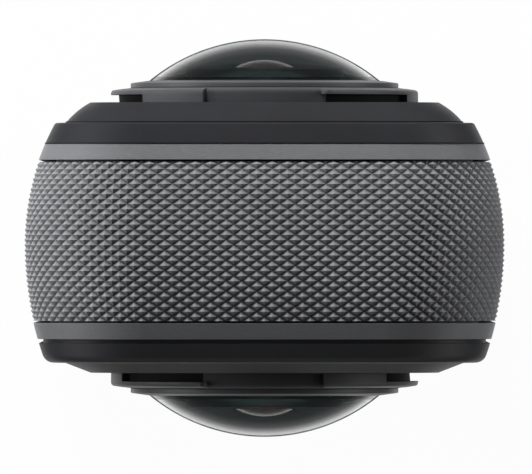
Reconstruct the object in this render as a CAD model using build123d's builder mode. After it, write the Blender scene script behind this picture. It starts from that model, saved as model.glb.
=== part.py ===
from build123d import *
from math import asin, cos, sin, sqrt
import os

os.makedirs("parts", exist_ok=True)

# A pocket 360 degree camera: a slim upright body with a fisheye lens on each broad face.
# Millimetres. X runs across the width, Y through the depth (+Y the front, -Y the screen
# side) and Z up. The origin lies on the standing plane, under the middle of the body.

# Outline and cross-section. The side wall is two arcs that meet in a crest line.
body_width = 46.0
body_height = 124.5
crest_y = -0.57
front_arc_radius = 24.2
rear_arc_radius = 33.1
top_corner_radius = 11.3
bottom_corner_radius = 8.0
base_cut = 0.9
overrun = 3.0
full_turn = 360
quarter_turn = full_turn / 4

# Depth stations, as thicknesses counted outwards from the middle of the body
frame_front_y = 8.99
frame_rear_y = -9.66
front_rim_depth = 2.04
front_rim_round = 0.35
front_ledge = 3.96
front_island_rise = 1.95
front_island_draw = 2.36
front_island_bulge = 0.15
rear_groove_width = 0.40
rear_groove_depth = 1.8
rear_rim_depth = 1.87
rear_rim_round = 1.1
rear_ledge = 3.87
rear_island_rise = 0.96
rear_island_draw = 2.48
front_wall = 1.5
rear_wall = 1.8
cover_core_inset = 6.0
island_core_lap = 0.7

# Grip band round the edge, laid in a channel of the frame
band_front_y = 7.28
band_rear_y = -7.91
band_groove = 0.2
band_thickness = 1.6
frame_wall = 3.6

# Lens islands
lens_drop = 22.5
island_reach = 20.0
island_corner_radius = 7.3
island_wall = 1.58
island_pocket_wall = 1.9

# Bayonet lens mount
mount_flange_gap = 3.4
neck_step = 1.95
lug_reach = 0.75
mount_shoulder = 1.1
mount_wall = 1.8
mount_flange_thickness = 1.8
mount_lip_width = 3.05
mount_lip_thickness = 0.6
lug_slot = 0.80
lug_rise = 0.70
lug_fall = 0.28
lug_round = 0.34
lug_count = 3
tab_start = 22.6
tab_sweep = 47.0
stop_sweep = 28.7
fit_gap = 0.1
seal_step = 0.6
seal_thickness = 0.18

# Lens unit that turns in the mount
bezel_lap = 0.65
bezel_rise = 0.44
bezel_slope = 0.24
bezel_spigot_depth = 2.08
bezel_throat_step = 0.9
bezel_edge = 0.1
bezel_land = 1.8
glass_seat_depth = 0.88
glass_skirt_wall = 1.1
glass_thickness = 1.0
dome_spread = 6.3
running_gap = 0.05

# Optics behind the dome
barrel_lip_gap = 0.7
barrel_flange_gap = 0.15
barrel_flange_thickness = 1.2
barrel_cone_step = 2.5
baffle_step = 2.0
baffle_land = 0.65
baffle_top_gap = 2.27
inner_lens_radius = 2.97
inner_lens_sphere = 5.6
inner_lens_edge = 0.9
light_path_radius = 2.2
sensor_size = 15.0
sensor_thickness = 2.2
sensor_corner = 0.6
bracket_thickness = 1.6
bracket_margin = 6.5
bracket_drop = 11.0
bracket_rise = 16.0
bracket_window = 9.0

# Screen and its two buttons
screen_margin = 3.8
screen_low_z = 19.0
screen_top_drop = 22.0
screen_corner = 3.6
screen_glass_thickness = 1.0
screen_sink = 0.1
screen_gap = 0.12
window_margin = 2.0
display_thickness = 1.4
button_z = 10.6
button_offset = 9.0
button_radius = 3.6
button_proud = 0.2
button_gap = 0.15
button_flange_radius = 4.3
button_flange_thickness = 0.6
button_stem_radius = 1.0
button_travel = 0.4
button_dish_depth = 0.25
button_dish_radius = 2.6
light_width = 4.0
light_height = 1.2
light_corner = 0.5
front_light_drop = 24.4
switch_height = 0.3
switch_radius = 1.4
button_board_thickness = 0.8
button_board_margin = 8.0
button_board_low_z = 5.6
button_board_high_z = 18.0
rest_gap = 0.1

# Battery module and its bay, open at the left side
battery_low_z = 10.4
battery_top_drop = 57.9
battery_half_depth = 6.6
battery_corner = 2.6
battery_gap = 0.2
bay_wall = 0.9
bay_end_gap = 10.0
cap_depth = 4.0
case_wall = 1.1
case_end_gap = 1.0
cell_gap = 0.25
contact_width = 9.0
contact_height = 3.4
contact_thickness = 0.3
contact_gap = 0.3
contact_pitch = 5.2
contact_rows = 4
seal_width = 0.8
seal_depth = 0.14
latch_half_width = 4.0
latch_height = 5.2
latch_travel = 1.8
latch_gap = 0.2
latch_floor_depth = 2.1
latch_top_depth = 0.5
latch_tongue_half_width = 2.0
latch_tongue_thickness = 1.0
latch_tongue_reach = 1.0
latch_rib = 0.4
latch_rib_count = 3
pocket_wall = 1.6
notch_gap = 0.3

# Port bay with its door, at the left side above the battery
port_rise = 3.2
port_height = 19.4
port_front_y = 6.6
port_rear_y = -7.2
port_corner = 2.4
port_sink = 0.08
port_back_depth = 5.8
door_margin = 1.9
door_front_y = 4.9
door_gap = 0.2
door_corner = 1.2
hinge_y = -5.2
hinge_radius = 1.1
hinge_gap = 0.25
hinge_pin_radius = 0.45
hinge_pin_engage = 0.9
mouth_front_y = 4.2
mouth_rear_y = -3.9
mouth_margin = 1.0
port_floor_depth = 4.8
socket_y = 1.9
socket_width = 8.94
socket_depth = 3.2
socket_wall = 0.3
socket_length = 7.3
tongue_width = 6.7
tongue_thickness = 0.7
card_y = -2.3
card_width = 11.0
card_thickness = 0.75
card_length = 15.0
card_proud = 0.5
card_travel = 0.7
card_gap = 0.1
card_slot_wall = 0.45
door_seal_wall = 0.8
door_seal_depth = 0.9

# Right side: control panel with two buttons, and the speaker grille below
panel_top_drop = 12.0
panel_height = 23.0
panel_front_y = 4.5
panel_rear_y = -5.4
panel_corner = 4.2
panel_sink = 0.3
panel_gap = 0.05
panel_seat_wall = 0.6
side_button_margin = 6.0
side_button_width = 4.4
side_button_height = 7.6
side_button_proud = 0.2
side_button_flange = 0.7
side_button_flange_thickness = 0.6
side_board_depth = 5.4
side_board_thickness = 0.8
side_board_half_width = 4.2
side_board_post = 1.3
side_board_corner = 0.4
grille_low_z = 12.0
grille_high_z = 29.0
grille_front_y = 4.2
grille_rear_y = -5.3
grille_corner = 3.0
grille_slot_length = 6.4
grille_slot_width = 0.9
grille_slot_pitch = 2.1
grille_slot_count = 6
speaker_thickness = 4.6
speaker_margin = 1.2
mic_drop = 5.0
mic_radius = 1.5
mic_hole_radius = 0.6

# Front grip pad
pad_margin = 7.5
pad_low_z = 13.0
pad_top_drop = 30.0
pad_corner = 5.0
pad_recess = 0.6
pad_proud = 0.25

# Boards
board_thickness = 1.0
board_margin = 5.0
board_low_z = 8.0
board_top_drop = 22.0
spreader_margin = 2.0
spreader_low_z = 14.0
spreader_top_drop = 36.0
spreader_gap = 0.03

# Base plate with the tripod thread, two magnets and four screws
base_margin = 9.0
base_depth = 12.4
base_corner = 3.0
base_thickness = 1.6
base_ledge_x = 3.6
base_ledge_y = 1.5
base_fit = 0.05
insert_radius = 4.2
insert_length = 6.0
insert_sink = 0.3
insert_flange = 0.45
insert_flange_thickness = 1.2
thread_radius = 3.175
magnet_radius = 2.0
magnet_margin = 6.0
magnet_sink = 0.5
magnet_rise = 0.4
base_screw_margin = 2.0
base_screw_y = 4.0
screw_radius = 0.6
screw_head_radius = 1.1
screw_head_thickness = 0.6
screw_length = 2.4
screw_sink = 0.1

# Stations that follow from the sizes above
half_width_max = body_width / 2
lens_z = body_height - lens_drop
island_low_z = lens_z - island_reach
rear_groove_x = half_width_max - rear_groove_depth
section_z = (body_height - base_cut) / 2
front_face_y = frame_front_y + front_rim_depth
front_island_y = front_face_y + front_island_rise
rear_rim_y = frame_rear_y - rear_groove_width
rear_face_y = rear_rim_y - rear_rim_depth
rear_island_y = rear_face_y - rear_island_rise
inner_x = half_width_max - frame_wall
mount_flange_radius = inner_x - mount_flange_gap
neck_radius = mount_flange_radius - neck_step
lug_radius = neck_radius + lug_reach
mount_rim_radius = neck_radius - mount_shoulder
mount_bore_radius = neck_radius - mount_wall
mount_lip_radius = mount_bore_radius - mount_lip_width
seal_radius = mount_bore_radius + seal_step
bezel_radius = mount_bore_radius + bezel_lap
bezel_spigot_radius = mount_bore_radius - running_gap
glass_radius = bezel_radius - bezel_land
bezel_throat_radius = glass_radius - bezel_throat_step
dome_radius = glass_radius + dome_spread
barrel_radius = mount_lip_radius - barrel_lip_gap
barrel_flange_radius = mount_bore_radius - barrel_flange_gap
barrel_cone_radius = barrel_flange_radius - barrel_cone_step
baffle_radius = barrel_cone_radius - baffle_step
bracket_width = body_width - 2 * bracket_margin
bracket_low_z = lens_z - bracket_drop
bracket_high_z = lens_z + bracket_rise
screen_width = body_width - 2 * screen_margin
screen_high_z = lens_z - screen_top_drop
front_light_z = lens_z - front_light_drop
button_board_width = body_width - 2 * button_board_margin
battery_high_z = body_height - battery_top_drop
bay_end_x = half_width_max - bay_end_gap
cap_back_x = half_width_max - cap_depth
latch_floor_x = half_width_max - latch_floor_depth
latch_top_x = half_width_max - latch_top_depth
port_low_z = battery_high_z + port_rise
port_high_z = port_low_z + port_height
port_back_x = half_width_max - port_back_depth
floor_x = half_width_max - port_floor_depth
door_low_z = port_low_z + door_margin
door_high_z = port_high_z - door_margin
panel_high_z = lens_z - panel_top_drop
panel_low_z = panel_high_z - panel_height
power_z = panel_high_z - side_button_margin
quick_z = panel_low_z + side_button_margin
side_board_x = half_width_max - side_board_depth
mic_z = lens_z - mic_drop
pad_width = body_width - 2 * pad_margin
pad_high_z = lens_z - pad_top_drop
board_width = body_width - 2 * board_margin
board_high_z = lens_z - board_top_drop
spreader_width = board_width - 2 * spreader_margin
spreader_high_z = lens_z - spreader_top_drop
base_width = body_width - 2 * base_margin
magnet_x = base_width / 2 - magnet_margin
base_screw_x = base_width / 2 - base_screw_margin
front_inner_y = front_face_y - front_wall
rear_inner_y = rear_face_y + rear_wall
mount_flange_y = front_island_y - island_wall
mount_base_y = mount_flange_y - mount_flange_thickness
lug_under_y = front_island_y + lug_slot
mount_top_y = lug_under_y + lug_rise
lug_edge_y = mount_top_y - lug_fall
bezel_top_y = mount_top_y + bezel_rise + bezel_slope
glass_seat_y = mount_top_y - glass_seat_depth
dome_apex_y = bezel_top_y + dome_radius - sqrt(dome_radius**2 - glass_radius**2)
dome_centre_y = dome_apex_y - dome_radius
baffle_top_y = dome_apex_y - glass_thickness - baffle_top_gap
sensor_back_y = bracket_thickness / 2
barrel_base_y = sensor_back_y + sensor_thickness
barrel_seat_y = mount_base_y + mount_lip_thickness
screen_front_y = rear_face_y + screen_sink
screen_back_y = screen_front_y + screen_glass_thickness
window_low_z = screen_low_z + window_margin
window_high_z = screen_high_z - window_margin
window_width = screen_width - 2 * window_margin
window_corner = screen_corner - window_margin
bay_outer_y = battery_half_depth + bay_wall
button_flange_y = rear_inner_y + rest_gap
switch_top_y = -(bay_outer_y + button_board_thickness + switch_height)
case_end_x = bay_end_x - case_end_gap
case_half_depth = battery_half_depth - battery_gap
case_low_z = battery_low_z + battery_gap
case_high_z = battery_high_z - battery_gap
battery_middle_z = (battery_low_z + battery_high_z) / 2
pocket_height = latch_height + latch_travel + 2 * latch_gap
latch_tongue_end = case_high_z + latch_tongue_reach
door_middle_z = (door_low_z + door_high_z) / 2
mic_seat_x = half_width_max - band_thickness


def half_width(y, inset=0.0):
    """Half width of the body at depth y, on a surface set in square to the outside."""
    radius = front_arc_radius if y >= crest_y else rear_arc_radius
    return half_width_max - radius + sqrt((radius - inset) ** 2 - (y - crest_y) ** 2)


def wall_curve(low_y, high_y, inset=0.0, side=1):
    """Draw the outside of the wall from low_y to high_y, as one or two arcs."""
    stops = [low_y] + ([crest_y] if low_y < crest_y < high_y else []) + [high_y]
    for start, end in zip(stops, stops[1:]):
        ThreePointArc(*((side * half_width(y, inset), y) for y in (start, (start + end) / 2, end)))


def wall_face(low_y, high_y, flat_x, inset=0.0, side=1):
    """Section through a piece of side wall: curved outside, flat inside."""
    with BuildLine() as line:
        wall_curve(low_y, high_y, inset, side)
        Polyline(
            (side * half_width(high_y, inset), high_y),
            (side * flat_x, high_y),
            (side * flat_x, low_y),
            (side * half_width(low_y, inset), low_y),
        )
    make_face(line.edges())


def rounded_outline(half, low, high, low_radius, high_radius):
    """Closed outline in the front view, with its own radius at the top and the bottom."""
    with BuildLine(Plane.XZ) as line:
        FilletPolyline(
            (half, low),
            (half, high),
            (-half, high),
            (-half, low),
            radius=[low_radius, high_radius, high_radius, low_radius],
            close=True,
        )
    return line.wire()


def body_outline(inset=0.0):
    """Outline of the whole body in the front view, set in from the crest line."""
    return rounded_outline(
        half_width_max - inset,
        inset - base_cut,
        body_height - inset,
        bottom_corner_radius - inset,
        top_corner_radius - inset,
    )


def island_outline(inset, ledge):
    """Outline of a lens island, whose foot runs at the width of the ledge inside the crest."""
    return rounded_outline(
        half_width_max - ledge - inset,
        island_low_z + inset,
        body_height - ledge - inset,
        island_corner_radius - inset,
        island_corner_radius - inset,
    )


def facing(y):
    """Plane parallel to the broad faces at depth y; local x is X and local y is Z."""
    return Plane.XZ.offset(-y)


def level(z):
    """Horizontal plane at height z."""
    return Plane.XY.offset(z)


def slab(wire, low_y, high_y, mode=Mode.ADD):
    """Straight slab between two depths, with the given front view outline."""
    extrude(Face(wire.moved(Location((0, low_y, 0)))), amount=high_y - low_y, dir=(0, 1, 0), mode=mode)


def side_window(front_y, rear_y, low_z, high_z, corner, near_x, far_x, mode, grow=0.0):
    """Straight rounded block through a side wall, drawn in the side view."""
    with BuildSketch(Plane.YZ.offset(near_x)) as window:
        with Locations(((front_y + rear_y) / 2, (low_z + high_z) / 2)):
            RectangleRounded(front_y - rear_y + 2 * grow, high_z - low_z + 2 * grow, corner + grow)
    extrude(window.sketch, amount=far_x - near_x, dir=(1, 0, 0), mode=mode)


lens_axis = Axis((0, 0, lens_z), (0, 1, 0))
crest_path = body_outline()

# Openings of the left and right side walls, used by the frame, the band and what fits in them
battery_window = (battery_half_depth, -battery_half_depth, battery_low_z, battery_high_z, battery_corner)
port_window = (port_front_y, port_rear_y, port_low_z, port_high_z, port_corner)
panel_window = (panel_front_y, panel_rear_y, panel_low_z, panel_high_z, panel_corner)
grille_window = (grille_front_y, grille_rear_y, grille_low_z, grille_high_z, grille_corner)
outside_x = half_width_max + overrun
deep_x = inner_x - overrun
keeper_low_z = battery_low_z - latch_tongue_reach - notch_gap
keeper_high_z = battery_high_z + latch_tongue_reach + notch_gap
side_button_places = (power_z, quick_z)
side_button_hole = (side_button_height + 2 * button_gap, side_button_width + 2 * button_gap)
panel_seat_x = inner_x + panel_seat_wall


def cut_sides():
    """Cut the openings of both side walls out of the current part."""
    side_window(*battery_window, -outside_x, -deep_x, Mode.SUBTRACT)
    side_window(*port_window, -outside_x, -deep_x, Mode.SUBTRACT, panel_gap)
    with BuildSketch(Plane.YZ.offset(-outside_x)) as keeper:
        with Locations((0, (keeper_low_z + keeper_high_z) / 2)):
            Rectangle(2 * (latch_tongue_half_width + notch_gap), keeper_high_z - keeper_low_z)
    extrude(keeper.sketch, amount=outside_x - latch_floor_x + latch_gap, dir=(1, 0, 0), mode=Mode.SUBTRACT)


def cut_base(inset_x=0.0, inset_y=0.0, low_z=0.0, high_z=frame_wall):
    """Cut the opening of the base plate, or the smaller one above its ledge."""
    with BuildSketch(level(low_z)) as opening:
        with Locations((0, crest_y)):
            RectangleRounded(
                base_width + 2 * (base_fit - inset_x), base_depth + 2 * (base_fit - inset_y), base_corner
            )
    extrude(opening.sketch, amount=high_z - low_z, mode=Mode.SUBTRACT)


def side_round(side, radius, z, near_x, far_x, mode):
    """Round block across a side wall, on the crest line."""
    with BuildSketch(Plane.YZ.offset(side * near_x)) as disc:
        with Locations((crest_y, z)):
            Circle(radius)
    extrude(disc.sketch, amount=side * (far_x - near_x), dir=(1, 0, 0), mode=mode)


def side_slot(height, width, z, near_x, far_x, mode):
    """Upright slot-shaped block across the right side wall, on the crest line."""
    with BuildSketch(Plane.YZ.offset(near_x)) as slot:
        with Locations((crest_y, z)):
            SlotOverall(height, width, rotation=90)
    extrude(slot.sketch, amount=far_x - near_x, dir=(1, 0, 0), mode=mode)


def front_disc(x, z, radius, near_y, far_y, mode=Mode.ADD):
    """Round block through the depth, drawn in the front view."""
    with BuildSketch(facing(near_y)) as disc:
        with Locations((x, z)):
            Circle(radius)
    extrude(disc.sketch, amount=far_y - near_y, dir=(0, 1, 0), mode=mode)


def front_block(x, low_z, high_z, width, corner, near_y, far_y, mode=Mode.ADD):
    """Block with rounded corners through the depth, drawn in the front view."""
    with BuildSketch(facing(near_y)) as block:
        with Locations((x, (low_z + high_z) / 2)):
            RectangleRounded(width, high_z - low_z, corner)
    extrude(block.sketch, amount=far_y - near_y, dir=(0, 1, 0), mode=mode)


def island(ledge, draw, rise, bulge, face_y):
    """Raised lens island: a flank swept round a flat core."""
    foot_x = half_width_max - ledge
    core_x = foot_x - draw - island_core_lap
    with BuildSketch(level(lens_z)) as flank:
        with BuildLine() as line:
            if bulge:
                middle_x = foot_x - draw / 2 + bulge * rise / sqrt(rise**2 + draw**2)
                middle_y = face_y + rise / 2 + bulge * draw / sqrt(rise**2 + draw**2)
                ThreePointArc((foot_x, face_y), (middle_x, middle_y), (foot_x - draw, face_y + rise))
            else:
                Line((foot_x, face_y), (foot_x - draw, face_y + rise))
            Polyline((foot_x - draw, face_y + rise), (core_x, face_y + rise), (core_x, face_y))
            Line((core_x, face_y), (foot_x, face_y))
        make_face(line.edges())
    sweep(flank.sketch, path=island_outline(0, ledge))
    slab(island_outline(draw + island_core_lap, ledge), face_y, face_y + rise)


def lens_face(*points):
    """Profile of a round lens piece, as radius and depth, on the plane of the lens axis."""
    with BuildLine() as line:
        Polyline(*points, close=True)
    make_face(line.edges())


# Frame and grip band
with BuildPart() as mid_frame:
    with BuildSketch(level(section_z)) as frame_section:
        wall_face(frame_rear_y, frame_front_y, inner_x)
        with BuildLine() as channel:
            wall_curve(band_rear_y - band_groove, band_front_y + band_groove, band_thickness)
            Polyline(
                (half_width(band_front_y + band_groove, band_thickness), band_front_y + band_groove),
                (outside_x, band_front_y + band_groove),
                (outside_x, band_rear_y - band_groove),
                (half_width(band_rear_y - band_groove, band_thickness), band_rear_y - band_groove),
            )
        make_face(channel.edges(), mode=Mode.SUBTRACT)
    sweep(path=crest_path)
    split(bisect_by=Plane.XY, keep=Keep.TOP)
    cut_sides()
    side_window(*panel_window, panel_seat_x, outside_x, Mode.SUBTRACT, panel_gap)
    side_window(*grille_window, deep_x, outside_x, Mode.SUBTRACT, panel_gap)
    for place in side_button_places:
        side_slot(*side_button_hole, place, deep_x, outside_x, Mode.SUBTRACT)
    for side in (-1, 1):
        side_round(side, mic_hole_radius, mic_z, deep_x, outside_x, Mode.SUBTRACT)
    cut_base(high_z=base_thickness)
    cut_base(base_ledge_x, base_ledge_y, base_thickness)
    with BuildSketch(level(base_thickness)) as screw_holes:
        with Locations((0, crest_y)):
            with GridLocations(2 * base_screw_x, 2 * base_screw_y, 2, 2):
                Circle(screw_radius)
    extrude(amount=screw_length, mode=Mode.SUBTRACT)
mid_frame.part.label = "mid_frame"
export_step(mid_frame.part, "parts/mid_frame.step")

with BuildPart() as grip_band:
    with BuildSketch(level(section_z)) as band_section:
        with BuildLine() as band_line:
            wall_curve(band_rear_y, band_front_y)
            wall_curve(band_rear_y, band_front_y, band_thickness)
            for border in (band_rear_y, band_front_y):
                Line((half_width(border), border), (half_width(border, band_thickness), border))
        make_face()
    sweep(path=crest_path)
    split(bisect_by=Plane.XY, keep=Keep.TOP)
    cut_sides()
    side_window(*panel_window, deep_x, outside_x, Mode.SUBTRACT, panel_gap)
    side_window(*grille_window, deep_x, outside_x, Mode.SUBTRACT, panel_gap)
    for side in (-1, 1):
        side_round(side, mic_radius + fit_gap, mic_z, deep_x, outside_x, Mode.SUBTRACT)
    cut_base()
grip_band.part.label = "grip_band"
export_step(grip_band.part, "parts/grip_band.step")

# Covers
with BuildPart() as front_cover:
    with BuildSketch(level(section_z)) as front_rim:
        wall_face(frame_front_y, front_face_y, half_width_max - cover_core_inset)
        fillet(front_rim.vertices().group_by(Axis.Y)[-1].sort_by(Axis.X)[-1], front_rim_round)
    sweep(path=crest_path)
    slab(body_outline(cover_core_inset), frame_front_y, front_face_y)
    island(front_ledge, front_island_draw, front_island_rise, front_island_bulge, front_face_y)
    slab(body_outline(frame_wall), frame_front_y, front_inner_y, Mode.SUBTRACT)
    slab(island_outline(island_pocket_wall, front_ledge), frame_front_y, mount_flange_y, Mode.SUBTRACT)
    front_disc(0, lens_z, neck_radius + fit_gap, frame_front_y, front_island_y, Mode.SUBTRACT)
    front_block(
        0, front_light_z - light_height / 2, front_light_z + light_height / 2,
        light_width, light_corner, frame_front_y, front_face_y, Mode.SUBTRACT,
    )
    front_block(0, pad_low_z, pad_high_z, pad_width, pad_corner, front_face_y - pad_recess, front_island_y,
                Mode.SUBTRACT)
front_cover.part.label = "front_cover"
export_step(front_cover.part, "parts/front_cover.step")

with BuildPart() as front_grip_pad:
    front_block(0, pad_low_z + fit_gap, pad_high_z - fit_gap, pad_width - 2 * fit_gap, pad_corner - fit_gap,
                front_face_y - pad_recess, front_face_y + pad_proud)
    fillet(front_grip_pad.edges().group_by(Axis.Y)[-1], pad_proud)
front_grip_pad.part.label = "front_grip_pad"
export_step(front_grip_pad.part, "parts/front_grip_pad.step")

with BuildPart() as rear_cover:
    with BuildSketch(level(section_z)) as rear_rim:
        wall_face(rear_face_y, rear_rim_y, half_width_max - cover_core_inset)
        fillet(rear_rim.vertices().group_by(Axis.Y)[0].sort_by(Axis.X)[-1], rear_rim_round)
        with BuildLine() as lip:
            Polyline(
                (half_width_max - cover_core_inset, rear_rim_y),
                (rear_groove_x, rear_rim_y),
                (rear_groove_x, frame_rear_y),
                (half_width_max - cover_core_inset, frame_rear_y),
                close=True,
            )
        make_face(lip.edges())
    sweep(path=crest_path)
    slab(body_outline(cover_core_inset), rear_face_y, frame_rear_y)
    island(rear_ledge, rear_island_draw, -rear_island_rise, 0, rear_face_y)
    slab(body_outline(frame_wall), rear_inner_y, frame_rear_y, Mode.SUBTRACT)
    slab(island_outline(island_pocket_wall, rear_ledge), -mount_flange_y, frame_rear_y, Mode.SUBTRACT)
    front_disc(0, lens_z, neck_radius + fit_gap, rear_island_y, frame_rear_y, Mode.SUBTRACT)
    front_block(0, screen_low_z - screen_gap, screen_high_z + screen_gap, screen_width + 2 * screen_gap,
                screen_corner + screen_gap, rear_face_y, screen_back_y, Mode.SUBTRACT)
    front_block(0, window_low_z, window_high_z, window_width, window_corner, rear_face_y, frame_rear_y,
                Mode.SUBTRACT)
    for side in (-1, 1):
        front_disc(side * button_offset, button_z, button_radius + button_gap, rear_face_y, frame_rear_y,
                   Mode.SUBTRACT)
    front_block(0, button_z - light_height / 2, button_z + light_height / 2, light_width, light_corner,
                rear_face_y, frame_rear_y, Mode.SUBTRACT)
rear_cover.part.label = "rear_cover"
export_step(rear_cover.part, "parts/rear_cover.step")

# Lens mounts: a flanged neck with three bayonet lugs, each a tab over a slot and a stop
gap_sweep = full_turn / lug_count - tab_sweep - stop_sweep
lug_outside = lug_radius + overrun
with BuildPart() as front_lens_mount:
    with BuildSketch(level(lens_z)) as mount_section:
        lens_face(
            (mount_rim_radius, mount_top_y),
            (seal_radius, mount_top_y),
            (seal_radius, mount_top_y - seal_thickness),
            (mount_bore_radius, mount_top_y - seal_thickness),
            (mount_bore_radius, barrel_seat_y),
            (mount_lip_radius, barrel_seat_y),
            (mount_lip_radius, mount_base_y),
            (mount_flange_radius, mount_base_y),
            (mount_flange_radius, mount_flange_y),
            (neck_radius, mount_flange_y),
            (neck_radius, front_island_y),
            (lug_radius, front_island_y),
            (lug_radius, lug_edge_y),
        )
        fillet(mount_section.vertices().sort_by_distance((lug_radius, lug_edge_y))[0], lug_round)
    revolve(axis=lens_axis)
    for lug in range(lug_count):
        tab_first = lug * full_turn / lug_count + tab_start
        gap_first = tab_first + tab_sweep + stop_sweep
        for first, sweep_angle, high_y in (
            (tab_first, tab_sweep, lug_under_y),
            (gap_first, gap_sweep, mount_top_y),
        ):
            with BuildSketch(facing(front_island_y)) as relief:
                with BuildLine() as sector:
                    near = CenterArc((0, lens_z), neck_radius, quarter_turn - first, -sweep_angle)
                    far = CenterArc((0, lens_z), lug_outside, quarter_turn - first, -sweep_angle)
                    Line(near @ 0, far @ 0)
                    Line(near @ 1, far @ 1)
                make_face()
            extrude(relief.sketch, amount=high_y - front_island_y, dir=(0, 1, 0), mode=Mode.SUBTRACT)
front_lens_mount.part.label = "front_lens_mount"
export_step(front_lens_mount.part, "parts/front_lens_mount.step")

# Lens units: bezel, dome glass and seal, the same at the front and the rear
with BuildPart() as front_lens_seal:
    with BuildSketch(level(lens_z)) as seal_section:
        lens_face(
            (mount_bore_radius, mount_top_y - seal_thickness),
            (seal_radius - running_gap, mount_top_y - seal_thickness),
            (seal_radius - running_gap, mount_top_y),
            (mount_bore_radius, mount_top_y),
        )
    revolve(axis=lens_axis)
front_lens_seal.part.label = "front_lens_seal"
export_step(front_lens_seal.part, "parts/front_lens_seal.step")

with BuildPart() as front_lens_bezel:
    with BuildSketch(level(lens_z)) as bezel_section:
        lens_face(
            (bezel_throat_radius, mount_top_y - bezel_spigot_depth),
            (bezel_spigot_radius, mount_top_y - bezel_spigot_depth),
            (bezel_spigot_radius, mount_top_y),
            (bezel_radius, mount_top_y),
            (bezel_radius, mount_top_y + bezel_rise - bezel_edge),
            (bezel_radius - bezel_edge, mount_top_y + bezel_rise),
            (glass_radius + running_gap, bezel_top_y),
            (glass_radius + running_gap, glass_seat_y),
            (bezel_throat_radius, glass_seat_y),
        )
    revolve(axis=lens_axis)
front_lens_bezel.part.label = "front_lens_bezel"
export_step(front_lens_bezel.part, "parts/front_lens_bezel.step")

inner_dome_radius = dome_radius - glass_thickness
skirt_radius = glass_radius - glass_skirt_wall
with BuildPart() as front_dome_glass:
    with BuildSketch(level(lens_z)) as glass_section:
        with BuildLine() as glass_line:
            Polyline(
                (0, dome_apex_y - glass_thickness),
                (0, dome_apex_y),
            )
            RadiusArc((0, dome_apex_y), (glass_radius, bezel_top_y), dome_radius)
            Polyline(
                (glass_radius, bezel_top_y),
                (glass_radius, glass_seat_y),
                (skirt_radius, glass_seat_y),
                (skirt_radius, dome_centre_y + sqrt(inner_dome_radius**2 - skirt_radius**2)),
            )
            RadiusArc(
                (skirt_radius, dome_centre_y + sqrt(inner_dome_radius**2 - skirt_radius**2)),
                (0, dome_apex_y - glass_thickness),
                -inner_dome_radius,
            )
        make_face()
    revolve(axis=lens_axis)
front_dome_glass.part.label = "front_dome_glass"
export_step(front_dome_glass.part, "parts/front_dome_glass.step")

# Optics behind each dome
inner_lens_seat_y = baffle_top_y - inner_lens_edge
with BuildPart() as front_lens_barrel:
    with BuildSketch(level(lens_z)) as barrel_section:
        lens_face(
            (light_path_radius, barrel_base_y),
            (barrel_radius, barrel_base_y),
            (barrel_radius, barrel_seat_y),
            (barrel_flange_radius, barrel_seat_y),
            (barrel_flange_radius, barrel_seat_y + barrel_flange_thickness),
            (barrel_cone_radius, barrel_seat_y + barrel_flange_thickness),
            (baffle_radius, baffle_top_y - baffle_land),
            (baffle_radius, baffle_top_y),
            (inner_lens_radius + running_gap, baffle_top_y),
            (inner_lens_radius + running_gap, inner_lens_seat_y),
            (light_path_radius, inner_lens_seat_y),
        )
    revolve(axis=lens_axis)
front_lens_barrel.part.label = "front_lens_barrel"
export_step(front_lens_barrel.part, "parts/front_lens_barrel.step")

inner_lens_rise = inner_lens_sphere - sqrt(inner_lens_sphere**2 - inner_lens_radius**2)
with BuildPart() as front_inner_lens:
    with BuildSketch(level(lens_z)) as element_section:
        with BuildLine() as element_line:
            Polyline(
                (0, baffle_top_y + inner_lens_rise),
                (0, inner_lens_seat_y),
                (inner_lens_radius, inner_lens_seat_y),
                (inner_lens_radius, baffle_top_y),
            )
            RadiusArc(
                (inner_lens_radius, baffle_top_y), (0, baffle_top_y + inner_lens_rise), -inner_lens_sphere
            )
        make_face()
    revolve(axis=lens_axis)
front_inner_lens.part.label = "front_inner_lens"
export_step(front_inner_lens.part, "parts/front_inner_lens.step")

with BuildPart() as front_image_sensor:
    front_block(0, lens_z - sensor_size / 2, lens_z + sensor_size / 2, sensor_size, sensor_corner,
                sensor_back_y, barrel_base_y)
front_image_sensor.part.label = "front_image_sensor"
export_step(front_image_sensor.part, "parts/front_image_sensor.step")

with BuildPart() as sensor_bracket:
    front_block(0, bracket_low_z, bracket_high_z, bracket_width, sensor_corner, -sensor_back_y, sensor_back_y)
    front_block(0, lens_z - bracket_window / 2, lens_z + bracket_window / 2, bracket_window, sensor_corner,
                -sensor_back_y, sensor_back_y, Mode.SUBTRACT)
sensor_bracket.part.label = "sensor_bracket"
export_step(sensor_bracket.part, "parts/sensor_bracket.step")

# The rear lens is the front one turned half a turn about the vertical
for front in (
    front_lens_mount, front_lens_seal, front_lens_bezel, front_dome_glass,
    front_lens_barrel, front_inner_lens, front_image_sensor,
):
    name = front.part.label.replace("front", "rear")
    with BuildPart() as rear:
        add(front.part, rotation=(0, 0, full_turn / 2))
    rear.part.label = name
    export_step(rear.part, f"parts/{name}.step")

# Screen, its buttons and the status lights
with BuildPart() as screen_glass:
    front_block(0, screen_low_z, screen_high_z, screen_width, screen_corner, screen_front_y, screen_back_y)
    chamfer(screen_glass.edges().group_by(Axis.Y)[0], screen_sink)
screen_glass.part.label = "screen_glass"
export_step(screen_glass.part, "parts/screen_glass.step")

with BuildPart() as display_panel:
    front_block(0, window_low_z + screen_gap, window_high_z - screen_gap, window_width - 2 * screen_gap,
                window_corner - screen_gap, screen_back_y, screen_back_y + display_thickness)
display_panel.part.label = "display_panel"
export_step(display_panel.part, "parts/display_panel.step")

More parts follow.
